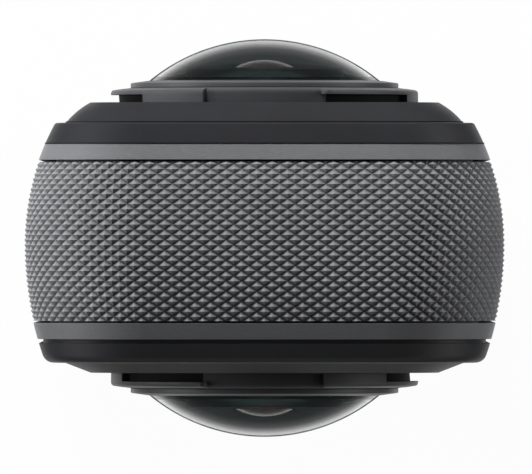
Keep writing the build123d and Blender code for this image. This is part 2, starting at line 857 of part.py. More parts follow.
for name, x in (("shutter_button", -button_offset), ("lens_switch_button", button_offset)):
    with BuildPart() as button:
        front_disc(x, button_z, button_radius, rear_face_y - button_proud, button_flange_y)
        fillet(button.edges().group_by(Axis.Y)[0], button_proud)
        front_disc(x, button_z, button_flange_radius, button_flange_y,
                   button_flange_y + button_flange_thickness)
        front_disc(x, button_z, button_stem_radius, button_flange_y + button_flange_thickness,
                   switch_top_y - button_travel - rest_gap)
        front_disc(x, button_z, button_dish_radius, rear_face_y - button_proud,
                   rear_face_y - button_proud + button_dish_depth, Mode.SUBTRACT)
    button.part.label = name
    export_step(button.part, f"parts/{name}.step")

with BuildPart() as button_board:
    front_block(0, button_board_low_z, button_board_high_z, button_board_width, button_stem_radius,
                -bay_outer_y - button_board_thickness, -bay_outer_y)
    for side in (-1, 1):
        front_disc(side * button_offset, button_z, switch_radius, switch_top_y,
                   -bay_outer_y - button_board_thickness)
button_board.part.label = "button_board"
export_step(button_board.part, "parts/button_board.step")

for name, light_z, outer_y, inner_y in (
    ("front_status_light", front_light_z, front_face_y, front_inner_y),
    ("rear_status_light", button_z, rear_face_y, rear_inner_y),
):
    with BuildPart() as light:
        front_block(0, light_z - light_height / 2 + running_gap, light_z + light_height / 2 - running_gap,
                    light_width - 2 * running_gap, light_corner - running_gap, min(outer_y, inner_y),
                    max(outer_y, inner_y))
    light.part.label = name
    export_step(light.part, f"parts/{name}.step")

# Boards
with BuildPart() as main_board:
    front_block(0, board_low_z, board_high_z, board_width, board_thickness, bay_outer_y,
                bay_outer_y + board_thickness)
main_board.part.label = "main_board"
export_step(main_board.part, "parts/main_board.step")

with BuildPart() as heat_spreader:
    front_block(0, spreader_low_z, spreader_high_z, spreader_width, board_thickness,
                bay_outer_y + board_thickness, front_inner_y - spreader_gap)
heat_spreader.part.label = "heat_spreader"
export_step(heat_spreader.part, "parts/heat_spreader.step")

# Base plate
with BuildPart() as base_plate:
    with BuildSketch(Plane.XY) as plate:
        with Locations((0, crest_y)):
            RectangleRounded(base_width, base_depth, base_corner)
            Circle(insert_radius, mode=Mode.SUBTRACT)
            with GridLocations(2 * magnet_x, base_depth, 2, 1):
                Circle(magnet_radius + running_gap, mode=Mode.SUBTRACT)
            with GridLocations(2 * base_screw_x, 2 * base_screw_y, 2, 2):
                Circle(screw_radius + running_gap, mode=Mode.SUBTRACT)
    extrude(amount=base_thickness)
    with BuildSketch(Plane.XY) as sinks:
        with Locations((0, crest_y)):
            with GridLocations(2 * base_screw_x, 2 * base_screw_y, 2, 2):
                Circle(screw_head_radius + running_gap)
    extrude(amount=screw_sink + screw_head_thickness, mode=Mode.SUBTRACT)
base_plate.part.label = "base_plate"
export_step(base_plate.part, "parts/base_plate.step")

with BuildPart() as tripod_insert:
    with BuildSketch(level(insert_sink)) as bush:
        with Locations((0, crest_y)):
            Circle(insert_radius)
    extrude(amount=insert_length)
    with BuildSketch(level(base_thickness)) as collar:
        with Locations((0, crest_y)):
            Circle(insert_radius + insert_flange)
    extrude(amount=insert_flange_thickness)
    with BuildSketch(level(insert_sink)) as thread:
        with Locations((0, crest_y)):
            Circle(thread_radius)
    extrude(amount=insert_length, mode=Mode.SUBTRACT)
tripod_insert.part.label = "tripod_insert"
export_step(tripod_insert.part, "parts/tripod_insert.step")

with BuildPart() as base_magnets:
    with BuildSketch(level(magnet_sink)) as magnets:
        with Locations((0, crest_y)):
            with GridLocations(2 * magnet_x, base_depth, 2, 1):
                Circle(magnet_radius)
    extrude(amount=base_thickness + magnet_rise - magnet_sink)
base_magnets.part.label = "base_magnets"
export_step(base_magnets.part, "parts/base_magnets.step")

with BuildPart() as base_screws:
    with BuildSketch(level(screw_sink)) as heads:
        with Locations((0, crest_y)):
            with GridLocations(2 * base_screw_x, 2 * base_screw_y, 2, 2):
                Circle(screw_head_radius)
    extrude(amount=screw_head_thickness)
    with BuildSketch(level(screw_sink)) as shanks:
        with Locations((0, crest_y)):
            with GridLocations(2 * base_screw_x, 2 * base_screw_y, 2, 2):
                Circle(screw_radius)
    extrude(amount=screw_length)
base_screws.part.label = "base_screws"
export_step(base_screws.part, "parts/base_screws.step")

# Battery bay and battery module
case_window = (case_half_depth, -case_half_depth, case_low_z, case_high_z, battery_corner - battery_gap)
connector_half_z = (contact_rows * contact_pitch) / 2
with BuildPart() as battery_bay:
    side_window(*battery_window, -inner_x, bay_end_x + bay_wall, Mode.ADD, bay_wall)
    side_window(*battery_window, -inner_x, bay_end_x, Mode.SUBTRACT)
battery_bay.part.label = "battery_bay"
export_step(battery_bay.part, "parts/battery_bay.step")

with BuildPart() as battery_connector:
    with BuildSketch(Plane.YZ.offset(bay_end_x)) as connector_base:
        with Locations((0, battery_middle_z)):
            Rectangle(contact_width + 2 * contact_gap, 2 * connector_half_z)
    extrude(amount=-contact_gap)
    with BuildSketch(Plane.YZ.offset(bay_end_x - contact_gap)) as blades:
        with Locations((0, battery_middle_z)):
            with GridLocations(contact_width, contact_pitch, 1, contact_rows):
                Rectangle(contact_width / 2, contact_height / 2)
    extrude(amount=-(case_end_gap - 2 * contact_gap))
battery_connector.part.label = "battery_connector"
export_step(battery_connector.part, "parts/battery_connector.step")

with BuildPart() as battery_case:
    side_window(*case_window, -cap_back_x, case_end_x, Mode.ADD)
    side_window(*case_window, -cap_back_x, case_end_x - case_wall, Mode.SUBTRACT, -case_wall)
    with BuildSketch(Plane.YZ.offset(case_end_x)) as pads:
        with Locations((0, battery_middle_z)):
            with GridLocations(contact_width, contact_pitch, 1, contact_rows):
                Rectangle(contact_width, contact_height)
    extrude(amount=-contact_thickness, mode=Mode.SUBTRACT)
    for grow, mode in ((overrun, Mode.SUBTRACT), (-case_wall / 2, Mode.ADD)):
        side_window(*case_window, -cap_back_x + seal_width, -cap_back_x + 2 * seal_width, mode, grow)
    side_window(*case_window, -cap_back_x, case_end_x - case_wall, Mode.SUBTRACT, -case_wall)
battery_case.part.label = "battery_case"
export_step(battery_case.part, "parts/battery_case.step")

with BuildPart() as battery_contacts:
    with BuildSketch(Plane.YZ.offset(case_end_x)) as pads:
        with Locations((0, battery_middle_z)):
            with GridLocations(contact_width, contact_pitch, 1, contact_rows):
                Rectangle(contact_width, contact_height)
    extrude(amount=-contact_thickness)
battery_contacts.part.label = "battery_contacts"
export_step(battery_contacts.part, "parts/battery_contacts.step")

with BuildPart() as battery_cells:
    side_window(*case_window, -cap_back_x + cell_gap, case_end_x - case_wall - cell_gap, Mode.ADD,
                -case_wall - cell_gap)
battery_cells.part.label = "battery_cells"
export_step(battery_cells.part, "parts/battery_cells.step")

with BuildPart() as battery_seal:
    side_window(*case_window, -cap_back_x + seal_width, -cap_back_x + 2 * seal_width, Mode.ADD, seal_depth)
    side_window(*case_window, -cap_back_x + seal_width, -cap_back_x + 2 * seal_width, Mode.SUBTRACT,
                -case_wall / 2)
battery_seal.part.label = "battery_seal"
export_step(battery_seal.part, "parts/battery_seal.step")


def latch_block(half_width_y, low_z, high_z, near_x, far_x, mode=Mode.ADD):
    """Block in the battery cap, symmetric about the crest line; near_x and far_x are left of centre."""
    with BuildSketch(Plane.YZ.offset(-far_x)) as block:
        with Locations((0, (low_z + high_z) / 2)):
            Rectangle(2 * half_width_y, high_z - low_z)
    extrude(block.sketch, amount=far_x - near_x, dir=(1, 0, 0), mode=mode)


pocket_high_z = case_high_z - pocket_wall
pocket_low_z = pocket_high_z - pocket_height
with BuildPart() as battery_cap:
    with BuildSketch(level(case_low_z)) as cap_section:
        wall_face(-case_half_depth, case_half_depth, cap_back_x, side=-1)
    extrude(amount=case_high_z - case_low_z)
    side_window(*case_window, -outside_x, -cap_back_x, Mode.INTERSECT)
    for end in (-1, 1):
        stations = [battery_middle_z + end * (z - battery_middle_z) for z in (pocket_low_z, pocket_high_z)]
        latch_block(latch_half_width + latch_gap, min(stations), max(stations), latch_floor_x, outside_x,
                    Mode.SUBTRACT)
        stations = [battery_middle_z + end * (z - battery_middle_z) for z in (pocket_low_z, case_high_z)]
        latch_block(latch_tongue_half_width + latch_gap, min(stations), max(stations), latch_floor_x,
                    outside_x, Mode.SUBTRACT)
battery_cap.part.label = "battery_cap"
export_step(battery_cap.part, "parts/battery_cap.step")

for name, end in (("upper_battery_latch", 1), ("lower_battery_latch", -1)):
    slider_high_z = pocket_high_z - latch_gap
    slider_low_z = slider_high_z - latch_height
    with BuildPart() as latch:
        stations = sorted(
            battery_middle_z + end * (z - battery_middle_z) for z in (slider_low_z, slider_high_z)
        )
        latch_block(latch_half_width, *stations, latch_floor_x + running_gap, latch_top_x)
        stations = sorted(
            battery_middle_z + end * (z - battery_middle_z) for z in (slider_high_z, latch_tongue_end)
        )
        latch_block(latch_tongue_half_width, *stations, latch_floor_x + running_gap,
                    latch_floor_x + running_gap + latch_tongue_thickness)
        for rib in range(latch_rib_count):
            rib_z = slider_low_z + latch_height * (rib + 1) / (latch_rib_count + 1)
            rib_z = battery_middle_z + end * (rib_z - battery_middle_z)
            latch_block(latch_half_width - latch_rib, rib_z - latch_rib / 2, rib_z + latch_rib / 2,
                        latch_top_x, latch_top_x + latch_rib)
    latch.part.label = name
    export_step(latch.part, f"parts/{name}.step")

# Port bay at the left side: rim, door on its pin, socket and memory card
hinge_x = half_width(hinge_y, port_sink + hinge_radius)
door_inner_x = hinge_x - hinge_radius
door_outer_reach = rear_arc_radius - port_sink
hinge_arc_x = rear_arc_radius - half_width_max
hinge_slope = asin((crest_y - hinge_y) / (door_outer_reach - hinge_radius))


def door_outline(low_z, high_z, front_y, rear_y, corner, near_x, far_x, mode):
    """Block across the left wall with rounded corners at its front edge only."""
    with BuildSketch(Plane.YZ.offset(-far_x)) as block:
        with Locations(((front_y + rear_y) / 2, (low_z + high_z) / 2)):
            Rectangle(front_y - rear_y, high_z - low_z)
        fillet(block.vertices().group_by(Axis.X)[-1], corner)
    extrude(block.sketch, amount=far_x - near_x, dir=(1, 0, 0), mode=mode)


def socket_block(y, width, depth, near_x, far_x, mode=Mode.ADD, rounded=False):
    """Upright block or slot at the middle height of the door, between two stations left of centre."""
    with BuildSketch(Plane.YZ.offset(-far_x)) as block:
        with Locations((y, door_middle_z)):
            if rounded:
                SlotOverall(width, depth, rotation=90)
            else:
                Rectangle(depth, width)
    extrude(block.sketch, amount=far_x - near_x, dir=(1, 0, 0), mode=mode)


slot_width = card_width + 2 * (card_gap + card_slot_wall)
slot_depth = card_thickness + 2 * (card_gap + card_slot_wall)
card_end_x = floor_x + card_proud - card_length
with BuildPart() as port_bay:
    with BuildSketch(level(port_low_z)) as port_section:
        wall_face(port_rear_y, port_front_y, port_back_x, port_sink, side=-1)
    extrude(amount=port_high_z - port_low_z)
    side_window(*port_window, -outside_x, -port_back_x, Mode.INTERSECT)
    door_outline(door_low_z - door_gap, door_high_z + door_gap, door_front_y + door_gap,
                 hinge_y - hinge_radius - hinge_gap, door_corner + door_gap, door_inner_x - door_gap,
                 outside_x, Mode.SUBTRACT)
    door_outline(door_low_z + mouth_margin, door_high_z - mouth_margin, mouth_front_y, mouth_rear_y,
                 door_corner, floor_x, outside_x, Mode.SUBTRACT)
    socket_block(socket_y, socket_width + 2 * panel_gap, socket_depth + 2 * panel_gap, port_back_x, outside_x,
                 Mode.SUBTRACT, rounded=True)
    socket_block(card_y, slot_width + 2 * panel_gap, slot_depth + 2 * panel_gap, port_back_x, outside_x,
                 Mode.SUBTRACT)
    with BuildSketch(level(door_low_z - hinge_pin_engage)) as pin_hole:
        with Locations((-hinge_x, hinge_y)):
            Circle(hinge_pin_radius)
    extrude(amount=door_high_z - door_low_z + 2 * hinge_pin_engage, mode=Mode.SUBTRACT)
port_bay.part.label = "port_bay"
export_step(port_bay.part, "parts/port_bay.step")

with BuildPart() as usb_door_pin:
    with BuildSketch(level(door_low_z - hinge_pin_engage)) as pin:
        with Locations((-hinge_x, hinge_y)):
            Circle(hinge_pin_radius)
    extrude(amount=door_high_z - door_low_z + 2 * hinge_pin_engage)
usb_door_pin.part.label = "usb_door_pin"
export_step(usb_door_pin.part, "parts/usb_door_pin.step")

with BuildPart() as usb_door:
    with BuildSketch(level(door_low_z)) as door_section:
        with BuildLine() as door_line:
            tangent = (
                hinge_arc_x - door_outer_reach * cos(hinge_slope),
                crest_y - door_outer_reach * sin(hinge_slope),
            )
            knuckle = (
                -hinge_x - hinge_radius * sin(hinge_slope / 2),
                hinge_y - hinge_radius * cos(hinge_slope / 2),
            )
            middle_y = (tangent[1] + crest_y) / 2
            ThreePointArc(tangent, (-half_width(middle_y, port_sink), middle_y),
                          (-half_width(crest_y, port_sink), crest_y))
            wall_curve(crest_y, door_front_y, port_sink, side=-1)
            Polyline(
                (-half_width(door_front_y, port_sink), door_front_y),
                (-door_inner_x, door_front_y),
                (-door_inner_x, hinge_y),
            )
            ThreePointArc((-door_inner_x, hinge_y), knuckle, tangent)
        make_face()
    extrude(amount=door_high_z - door_low_z)
    door_outline(door_low_z, door_high_z, door_front_y, hinge_y - 2 * hinge_radius, door_corner,
                 door_inner_x - overrun, outside_x, Mode.INTERSECT)
    with BuildSketch(level(door_low_z)) as bore:
        with Locations((-hinge_x, hinge_y)):
            Circle(hinge_pin_radius + running_gap)
    extrude(amount=door_high_z - door_low_z, mode=Mode.SUBTRACT)
usb_door.part.label = "usb_door"
export_step(usb_door.part, "parts/usb_door.step")

with BuildPart() as usb_door_seal:
    for inset, mode in ((hinge_gap, Mode.ADD), (hinge_gap + door_seal_wall, Mode.SUBTRACT)):
        door_outline(door_low_z + mouth_margin + inset, door_high_z - mouth_margin - inset,
                     mouth_front_y - inset, mouth_rear_y + inset, door_corner, door_inner_x - door_seal_depth,
                     door_inner_x, mode)
usb_door_seal.part.label = "usb_door_seal"
export_step(usb_door_seal.part, "parts/usb_door_seal.step")

with BuildPart() as usb_socket:
    socket_block(socket_y, socket_width, socket_depth, floor_x - socket_length, floor_x, rounded=True)
    socket_block(socket_y, socket_width - 2 * socket_wall, socket_depth - 2 * socket_wall,
                 floor_x - socket_length + 2 * socket_wall, floor_x, Mode.SUBTRACT, rounded=True)
    socket_block(socket_y, tongue_width, tongue_thickness, floor_x - socket_length + socket_wall,
                 floor_x - 2 * socket_wall)
usb_socket.part.label = "usb_socket"
export_step(usb_socket.part, "parts/usb_socket.step")

with BuildPart() as card_slot:
    socket_block(card_y, slot_width, slot_depth, card_end_x - card_travel - card_gap - card_slot_wall,
                 floor_x)
    socket_block(card_y, card_width + 2 * card_gap, card_thickness + 2 * card_gap,
                 card_end_x - card_travel - card_gap, floor_x, Mode.SUBTRACT)
card_slot.part.label = "card_slot"
export_step(card_slot.part, "parts/card_slot.step")

with BuildPart() as memory_card:
    socket_block(card_y, card_width, card_thickness, card_end_x, floor_x + card_proud)
memory_card.part.label = "memory_card"
export_step(memory_card.part, "parts/memory_card.step")

# Right side: control panel, buttons, their board, speaker and grille
with BuildPart() as control_panel:
    with BuildSketch(level(panel_low_z)) as panel_section:
        wall_face(panel_rear_y, panel_front_y, panel_seat_x, panel_sink)
    extrude(amount=panel_high_z - panel_low_z)
    side_window(*panel_window, panel_seat_x, outside_x, Mode.INTERSECT)
    for place in side_button_places:
        side_slot(*side_button_hole, place, deep_x, outside_x, Mode.SUBTRACT)
control_panel.part.label = "control_panel"
export_step(control_panel.part, "parts/control_panel.step")

button_top_x = half_width_max - panel_sink + side_button_proud
flange_x = inner_x - rest_gap
switch_top_x = side_board_x + switch_height
for name, place in (("power_button", power_z), ("quick_button", quick_z)):
    with BuildPart() as button:
        side_slot(side_button_height, side_button_width, place, flange_x, button_top_x, Mode.ADD)
        fillet(button.edges().group_by(Axis.X)[-1], side_button_proud)
        side_slot(side_button_height + 2 * side_button_flange, side_button_width + 2 * side_button_flange,
                  place, flange_x - side_button_flange_thickness, flange_x, Mode.ADD)
        side_round(1, button_stem_radius, place, switch_top_x + button_travel + rest_gap,
                   flange_x - side_button_flange_thickness, Mode.ADD)
    button.part.label = name
    export_step(button.part, f"parts/{name}.step")

with BuildPart() as side_button_board:
    board_window = (crest_y + side_board_half_width, crest_y - side_board_half_width)
    side_window(*board_window, panel_low_z, panel_high_z, side_board_thickness,
                side_board_x - side_board_thickness, side_board_x, Mode.ADD)
    for post_low_z in (panel_low_z, panel_high_z - side_board_post):
        side_window(*board_window, post_low_z, post_low_z + side_board_post, side_board_corner,
                    side_board_x, inner_x, Mode.ADD)
    for place in side_button_places:
        side_round(1, switch_radius, place, side_board_x, switch_top_x, Mode.ADD)
side_button_board.part.label = "side_button_board"
export_step(side_button_board.part, "parts/side_button_board.step")

with BuildPart() as speaker_grille:
    with BuildSketch(level(grille_low_z)) as grille_section:
        wall_face(grille_rear_y, grille_front_y, inner_x, panel_sink)
    extrude(amount=grille_high_z - grille_low_z)
    side_window(*grille_window, inner_x, outside_x, Mode.INTERSECT)
    with BuildSketch(Plane.YZ.offset(inner_x)) as slots:
        with Locations(((grille_front_y + grille_rear_y) / 2, (grille_low_z + grille_high_z) / 2)):
            with GridLocations(grille_slot_length, grille_slot_pitch, 1, grille_slot_count):
                SlotOverall(grille_slot_length, grille_slot_width)
    extrude(amount=outside_x - inner_x, mode=Mode.SUBTRACT)
speaker_grille.part.label = "speaker_grille"
export_step(speaker_grille.part, "parts/speaker_grille.step")

with BuildPart() as speaker:
    side_window(*grille_window, inner_x - speaker_thickness, inner_x, Mode.ADD, speaker_margin)
speaker.part.label = "speaker"
export_step(speaker.part, "parts/speaker.step")

for name, side in (("left_mic_mesh", -1), ("right_mic_mesh", 1)):
    with BuildPart() as mesh:
        with BuildSketch(level(mic_z - mic_radius)) as mesh_section:
            wall_face(crest_y - mic_radius, crest_y + mic_radius, mic_seat_x, panel_sink, side)
        extrude(amount=2 * mic_radius)
        side_round(side, mic_radius, mic_z, mic_seat_x, outside_x, Mode.INTERSECT)
    mesh.part.label = name
    export_step(mesh.part, f"parts/{name}.step")
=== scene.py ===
import math

import bmesh
import bpy
from mathutils import Matrix, Vector


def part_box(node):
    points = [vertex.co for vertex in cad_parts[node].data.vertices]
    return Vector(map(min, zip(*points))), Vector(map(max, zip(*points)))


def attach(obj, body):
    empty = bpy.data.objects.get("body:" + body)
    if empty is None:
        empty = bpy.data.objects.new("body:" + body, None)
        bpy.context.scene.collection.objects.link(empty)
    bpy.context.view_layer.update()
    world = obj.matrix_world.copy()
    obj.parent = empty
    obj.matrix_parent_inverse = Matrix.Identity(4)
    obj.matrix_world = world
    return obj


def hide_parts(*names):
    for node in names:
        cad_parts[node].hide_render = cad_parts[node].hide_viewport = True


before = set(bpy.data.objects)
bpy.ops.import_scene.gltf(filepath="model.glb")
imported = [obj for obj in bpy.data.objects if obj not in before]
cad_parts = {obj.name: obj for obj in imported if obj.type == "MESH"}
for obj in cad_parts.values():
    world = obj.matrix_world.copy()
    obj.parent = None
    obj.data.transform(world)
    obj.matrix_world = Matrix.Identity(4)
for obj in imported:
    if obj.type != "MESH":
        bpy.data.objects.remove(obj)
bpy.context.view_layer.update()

# A pocket 360 degree camera, seen from straight above with its front lens at the top of the
# picture. Metres; X runs across the width, Y to the front lens and Z up.
MM = 0.001

# Body outline and side section, as in the model
HALF_WIDTH = 23.0 * MM
BODY_HEIGHT = 124.5 * MM
BASE_CUT = 0.9 * MM
CREST_Y = -0.57 * MM
FRONT_ARC = 24.2 * MM
REAR_ARC = 33.1 * MM
TOP_CORNER = 11.3 * MM
BOTTOM_CORNER = 8.0 * MM
BAND_FRONT_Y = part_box("grip_band")[1].y
BAND_REAR_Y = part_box("grip_band")[0].y

# Knurl of the grip: rows of small four-sided pyramids
KNURL_STEP_X = 0.732 * MM
KNURL_STEP_Y = 0.4905 * MM
KNURL_DEPTH = 0.30 * MM
KNURL_PEAK_Y = 0.80 * MM
BAND_BACK = 1.4 * MM
HOLE_CORNER_STEPS = 5
HOLE_GAP = 0.05 * MM

# Corners of the openings in the band, and the channel under the battery cap
CAP_OPENING_CORNER = 2.6 * MM
CAP_GAP = 0.2 * MM
CHANNEL_HALF = 2.3 * MM
CHANNEL_LOW = 9.1 * MM
CHANNEL_HIGH = 67.9 * MM
CHANNEL_CORNER = 0.1 * MM
PORT_CORNER = 2.45 * MM
PANEL_CORNER = 4.25 * MM
GRILLE_CORNER = 3.05 * MM
MICROPHONE_CORNER = 1.55 * MM
BASE_PLATE_CORNER = 3.0 * MM

# Battery cap with the pockets of its latches
CAP_CORNER = 2.4 * MM
POCKET_HALF = 4.2 * MM
TONGUE_HALF = 2.2 * MM
POCKET_WALL = 1.6 * MM
POCKET_CORNER = 0.15 * MM
POCKET_FLOOR = 20.9 * MM
POCKET_LAP = 0.15 * MM
LATCH_TRAVEL = 1.8 * MM
LATCH_GAP = 0.2 * MM

# Front grip pad
PAD_CORNER = 4.9 * MM
PAD_CORNER_STEPS = 10
PAD_BORDER = 0.9 * MM
PAD_ROUND = 0.2 * MM
PAD_FIELD_RISE = 0.02 * MM
PAD_STEP_X = 0.60 * MM
PAD_STEP_Z = 0.90 * MM
PAD_DEPTH = 0.20 * MM
PAD_LAP = 0.30 * MM

# Lens pieces: the height of their axis, then radii from it and depths along it
LENS_Z = 102.0 * MM
LENS_STEPS = 160

BEZEL_BORE = 10.2 * MM
BEZEL_SHANK = 12.2 * MM
BEZEL_RIM = 12.9 * MM
BEZEL_MOUTH = 11.15 * MM
BEZEL_BACK = 12.4 * MM
BEZEL_SEAT = 13.6 * MM
BEZEL_UNDERSIDE = 14.48 * MM
BEZEL_EDGE = 14.92 * MM
BEZEL_CROWN = 15.16 * MM
BEZEL_RIM_ROUND = 0.10 * MM
BEZEL_MOUTH_ROUND = 0.09 * MM
CUT_RIM_RADIUS = 11.28 * MM
CUT_RIM_DEPTH = 15.06 * MM

DOME_RADIUS = 17.4 * MM
DOME_CENTRE = 1.76 * MM
DOME_FOOT = 11.1 * MM
DOME_STEPS = 40
INNER_RADIUS = 15.75 * MM
INNER_CROWN = 18.98 * MM
INNER_FOOT = 10.25 * MM
DOME_SEAT = 13.65 * MM

ELEMENT_RADIUS = 5.6 * MM
ELEMENT_CENTRE = 11.043 * MM
ELEMENT_RIM = 2.97 * MM
ELEMENT_BACK = 14.99 * MM
ELEMENT_STEPS = 16

MOUNT_BORE = 12.25 * MM
MOUNT_MOUTH = 12.85 * MM
MOUNT_LIP = 12.95 * MM
MOUNT_THROAT = 9.2 * MM
NECK_HEAD = 14.05 * MM
NECK = 13.98 * MM
NECK_SPAN = 0.1 * MM
FLANGE = 16.0 * MM
MOUNT_BACK = 9.6 * MM
MOUNT_FLOOR = 10.2 * MM
FLANGE_TOP = 11.4 * MM
SLOT_FLOOR = 12.9 * MM
SLOT_CEILING = 13.8 * MM
MOUNT_STEP = 14.3 * MM
NECK_SHOULDER = 14.31 * MM
MOUNT_TOP = 14.45 * MM
NECK_ROUND = 0.28 * MM
LIP_ROUND = 0.03 * MM

# Bayonet lugs of the mount: a tab that runs on from a stop block, in degrees and depths
LUGS = 3
TAB_START = 22.6
TAB_SWEEP = 45.2
STOP_SWEEP = 28.7
SLOT_START = 2.0
LUG_ROOT = 13.75 * MM
LUG_REACH = 14.8 * MM
STOP_FOOT = 12.96 * MM
TAB_UNDERSIDE = 13.78 * MM
TAB_EDGE = 14.2 * MM
TAB_TOP = 14.36 * MM
TAB_CORNER = 0.6 * MM
TAB_ROUND = 0.26 * MM
STOP_STEPS = 14
TAB_STEPS = 24

# Shadow seams of the front cover
ISLAND_SEAM_Y = 11.06 * MM
COVER_SEAM_Y = 9.02 * MM
SEAM_HEIGHT = 0.11 * MM
SEAM_PROUD = 0.025 * MM
SEAM_DEPTH = 0.08 * MM

# Studio: brightness of the floor by distance from its middle as reflections and glass see it, a painted
# shadow under the object and a painted ring of light round it; of the walls and ceiling, as reflections see
# them; and the light from all round
POOL_REACH = 1.0
PAINTED_SHADOW_AND_LIGHT_LEVELS = (
    (0.0, 0.04), (0.043, 0.05), (0.050, 0.95), (0.066, 1.0), (0.10, 0.28), (0.14, 0.09), (0.20, 0.05),
    (0.45, 0.05), (0.75, 0.40),
)
FLOOR_HALF = 6.0
FLOOR_DROP = 0.1 * MM
FLOOR_GLOW_SHARE = 0.965
WALL = 0.45
SIDE_WALL = 0.9
CEILING = 0.15
AMBIENT = 0.02

# Camera: a very long lens straight above, framed as the photograph is
PICTURE_WIDTH = 532
PIXEL = 0.09583 * MM
LENS_LENGTH = 1200.0
SENSOR_WIDTH = 36.0

scene = bpy.context.scene
scene.view_settings.view_transform = "Standard"


# Materials

def start_material(name):
    """A material with its Principled shader and object coordinates."""
    material = bpy.data.materials.new(name)
    material.use_nodes = True
    tree = material.node_tree
    shader = tree.nodes["Principled BSDF"]
    place = tree.nodes.new("ShaderNodeTexCoord")
    return material, tree, shader, place.outputs["Object"]


def mapped(tree, place, stretch):
    """Object coordinates stretched along the axes, for brushed and moulded flow marks."""
    mapping = tree.nodes.new("ShaderNodeMapping")
    mapping.inputs["Scale"].default_value = stretch
    tree.links.new(place, mapping.inputs["Vector"])
    return mapping.outputs["Vector"]


def noise(tree, place, size, detail=2.0, rough=0.5):
    """Noise whose features are about the given size in metres."""
    made = tree.nodes.new("ShaderNodeTexNoise")
    made.inputs["Scale"].default_value = 1 / size
    made.inputs["Detail"].default_value = detail
    made.inputs["Roughness"].default_value = rough
    tree.links.new(place, made.inputs["Vector"])
    return made.outputs["Fac"]


def spread(tree, value, low, high, from_low=0.3, from_high=0.7):
    """Map a texture value from its usual span to the one wanted."""
    made = tree.nodes.new("ShaderNodeMapRange")
    made.inputs["From Min"].default_value = from_low
    made.inputs["From Max"].default_value = from_high
    made.inputs["To Min"].default_value = low
    made.inputs["To Max"].default_value = high
    tree.links.new(value, made.inputs["Value"])
    return made.outputs["Result"]


def calculated(tree, operation, *values):
    """Result of a Math node on sockets or plain numbers."""
    made = tree.nodes.new("ShaderNodeMath")
    made.operation = operation
    for socket, value in zip(made.inputs, values):
        if isinstance(value, float):
            socket.default_value = value
        else:
            tree.links.new(value, socket)
    return made.outputs[0]


def blend_colour(tree, factor, first, second):
    """Mix two colours, each a plain colour or the output of another node."""
    made = tree.nodes.new("ShaderNodeMix")
    made.data_type = "RGBA"
    tree.links.new(factor, made.inputs["Factor"])
    for socket, colour in ((made.inputs[6], first), (made.inputs[7], second)):
        if isinstance(colour, tuple):
            socket.default_value = (*colour, 1.0)
        else:
            tree.links.new(colour, socket)
    return made.outputs[2]


def edge_mask(tree, radius):
    """Value that is 1 along the edges of a piece and 0 on its faces, and the rounded normal."""
    soft = tree.nodes.new("ShaderNodeBevel")
    soft.samples = 4
    soft.inputs["Radius"].default_value = radius
    flat = tree.nodes.new("ShaderNodeNewGeometry")
    dot = tree.nodes.new("ShaderNodeVectorMath")
    dot.operation = "DOT_PRODUCT"
    tree.links.new(soft.outputs["Normal"], dot.inputs[0])
    tree.links.new(flat.outputs["Normal"], dot.inputs[1])
    return spread(tree, dot.outputs["Value"], 1.0, 0.0, 0.82, 0.99), soft.outputs["Normal"]


def shade(colour, factor):
    """A darker or lighter version of a colour."""
    return tuple(min(1.0, part * factor) for part in colour)


def moulded(name, colour, roughness, grain=0.12 * MM, bump=0.012 * MM, patch=7 * MM, variation=0.10,
            wear_and_highlight=0.5, edge=0.10 * MM, specular=0.35, stretch=None, valley=None):
    """Moulded plastic, rubber or painted metal with grain, patchy colour and lighter edges, partly wear and
    partly painted highlight.

    A valley paints shade into a knurled piece: its colour darkens between the tips.
    """
    material, tree, shader, place = start_material(name)
    if stretch:
        place = mapped(tree, place, stretch)
    patches = spread(tree, noise(tree, place, patch, 3.0), 0.0, 1.0)
    body = blend_colour(tree, patches, shade(colour, 1 - variation), shade(colour, 1 + variation))
    if valley is not None:
        # Painted shade: the colour darkens in the valleys of the knurl, away from its tips
        tips = tree.nodes.new("ShaderNodeAttribute")
        tips.attribute_name = "tip"
        painted_valley_shade = blend_colour(tree, patches, shade(colour, valley * (1 - variation)),
                            shade(colour, valley * (1 + variation)))
        body = blend_colour(tree, spread(tree, tips.outputs["Fac"], 0.0, 1.0, 0.0, 0.55), painted_valley_shade, body)
    grains = noise(tree, place, grain, 3.0, 0.6)
    speck = blend_colour(tree, spread(tree, grains, 0.0, 0.35, 0.45, 0.75), body, shade(colour, 1.6))
    edges, soft_normal = edge_mask(tree, edge)
    # Painted highlight and edge wear: the edges are lightened towards a pale grey, in patches
    rubbed_and_highlit = spread(tree, noise(tree, place, 1.5 * MM, 3.0), 0.0, wear_and_highlight)
    worn_and_highlit = calculated(tree, "MULTIPLY", edges, rubbed_and_highlit)
    tree.links.new(blend_colour(tree, worn_and_highlit, speck, shade(colour, 2.4)), shader.inputs["Base Color"])
    tree.links.new(spread(tree, grains, roughness - 0.06, roughness + 0.06), shader.inputs["Roughness"])
    relief = tree.nodes.new("ShaderNodeBump")
    relief.inputs["Distance"].default_value = bump
    tree.links.new(grains, relief.inputs["Height"])
    tree.links.new(soft_normal, relief.inputs["Normal"])
    tree.links.new(relief.outputs["Normal"], shader.inputs["Normal"])
    shader.inputs["Specular IOR Level"].default_value = specular
    return material


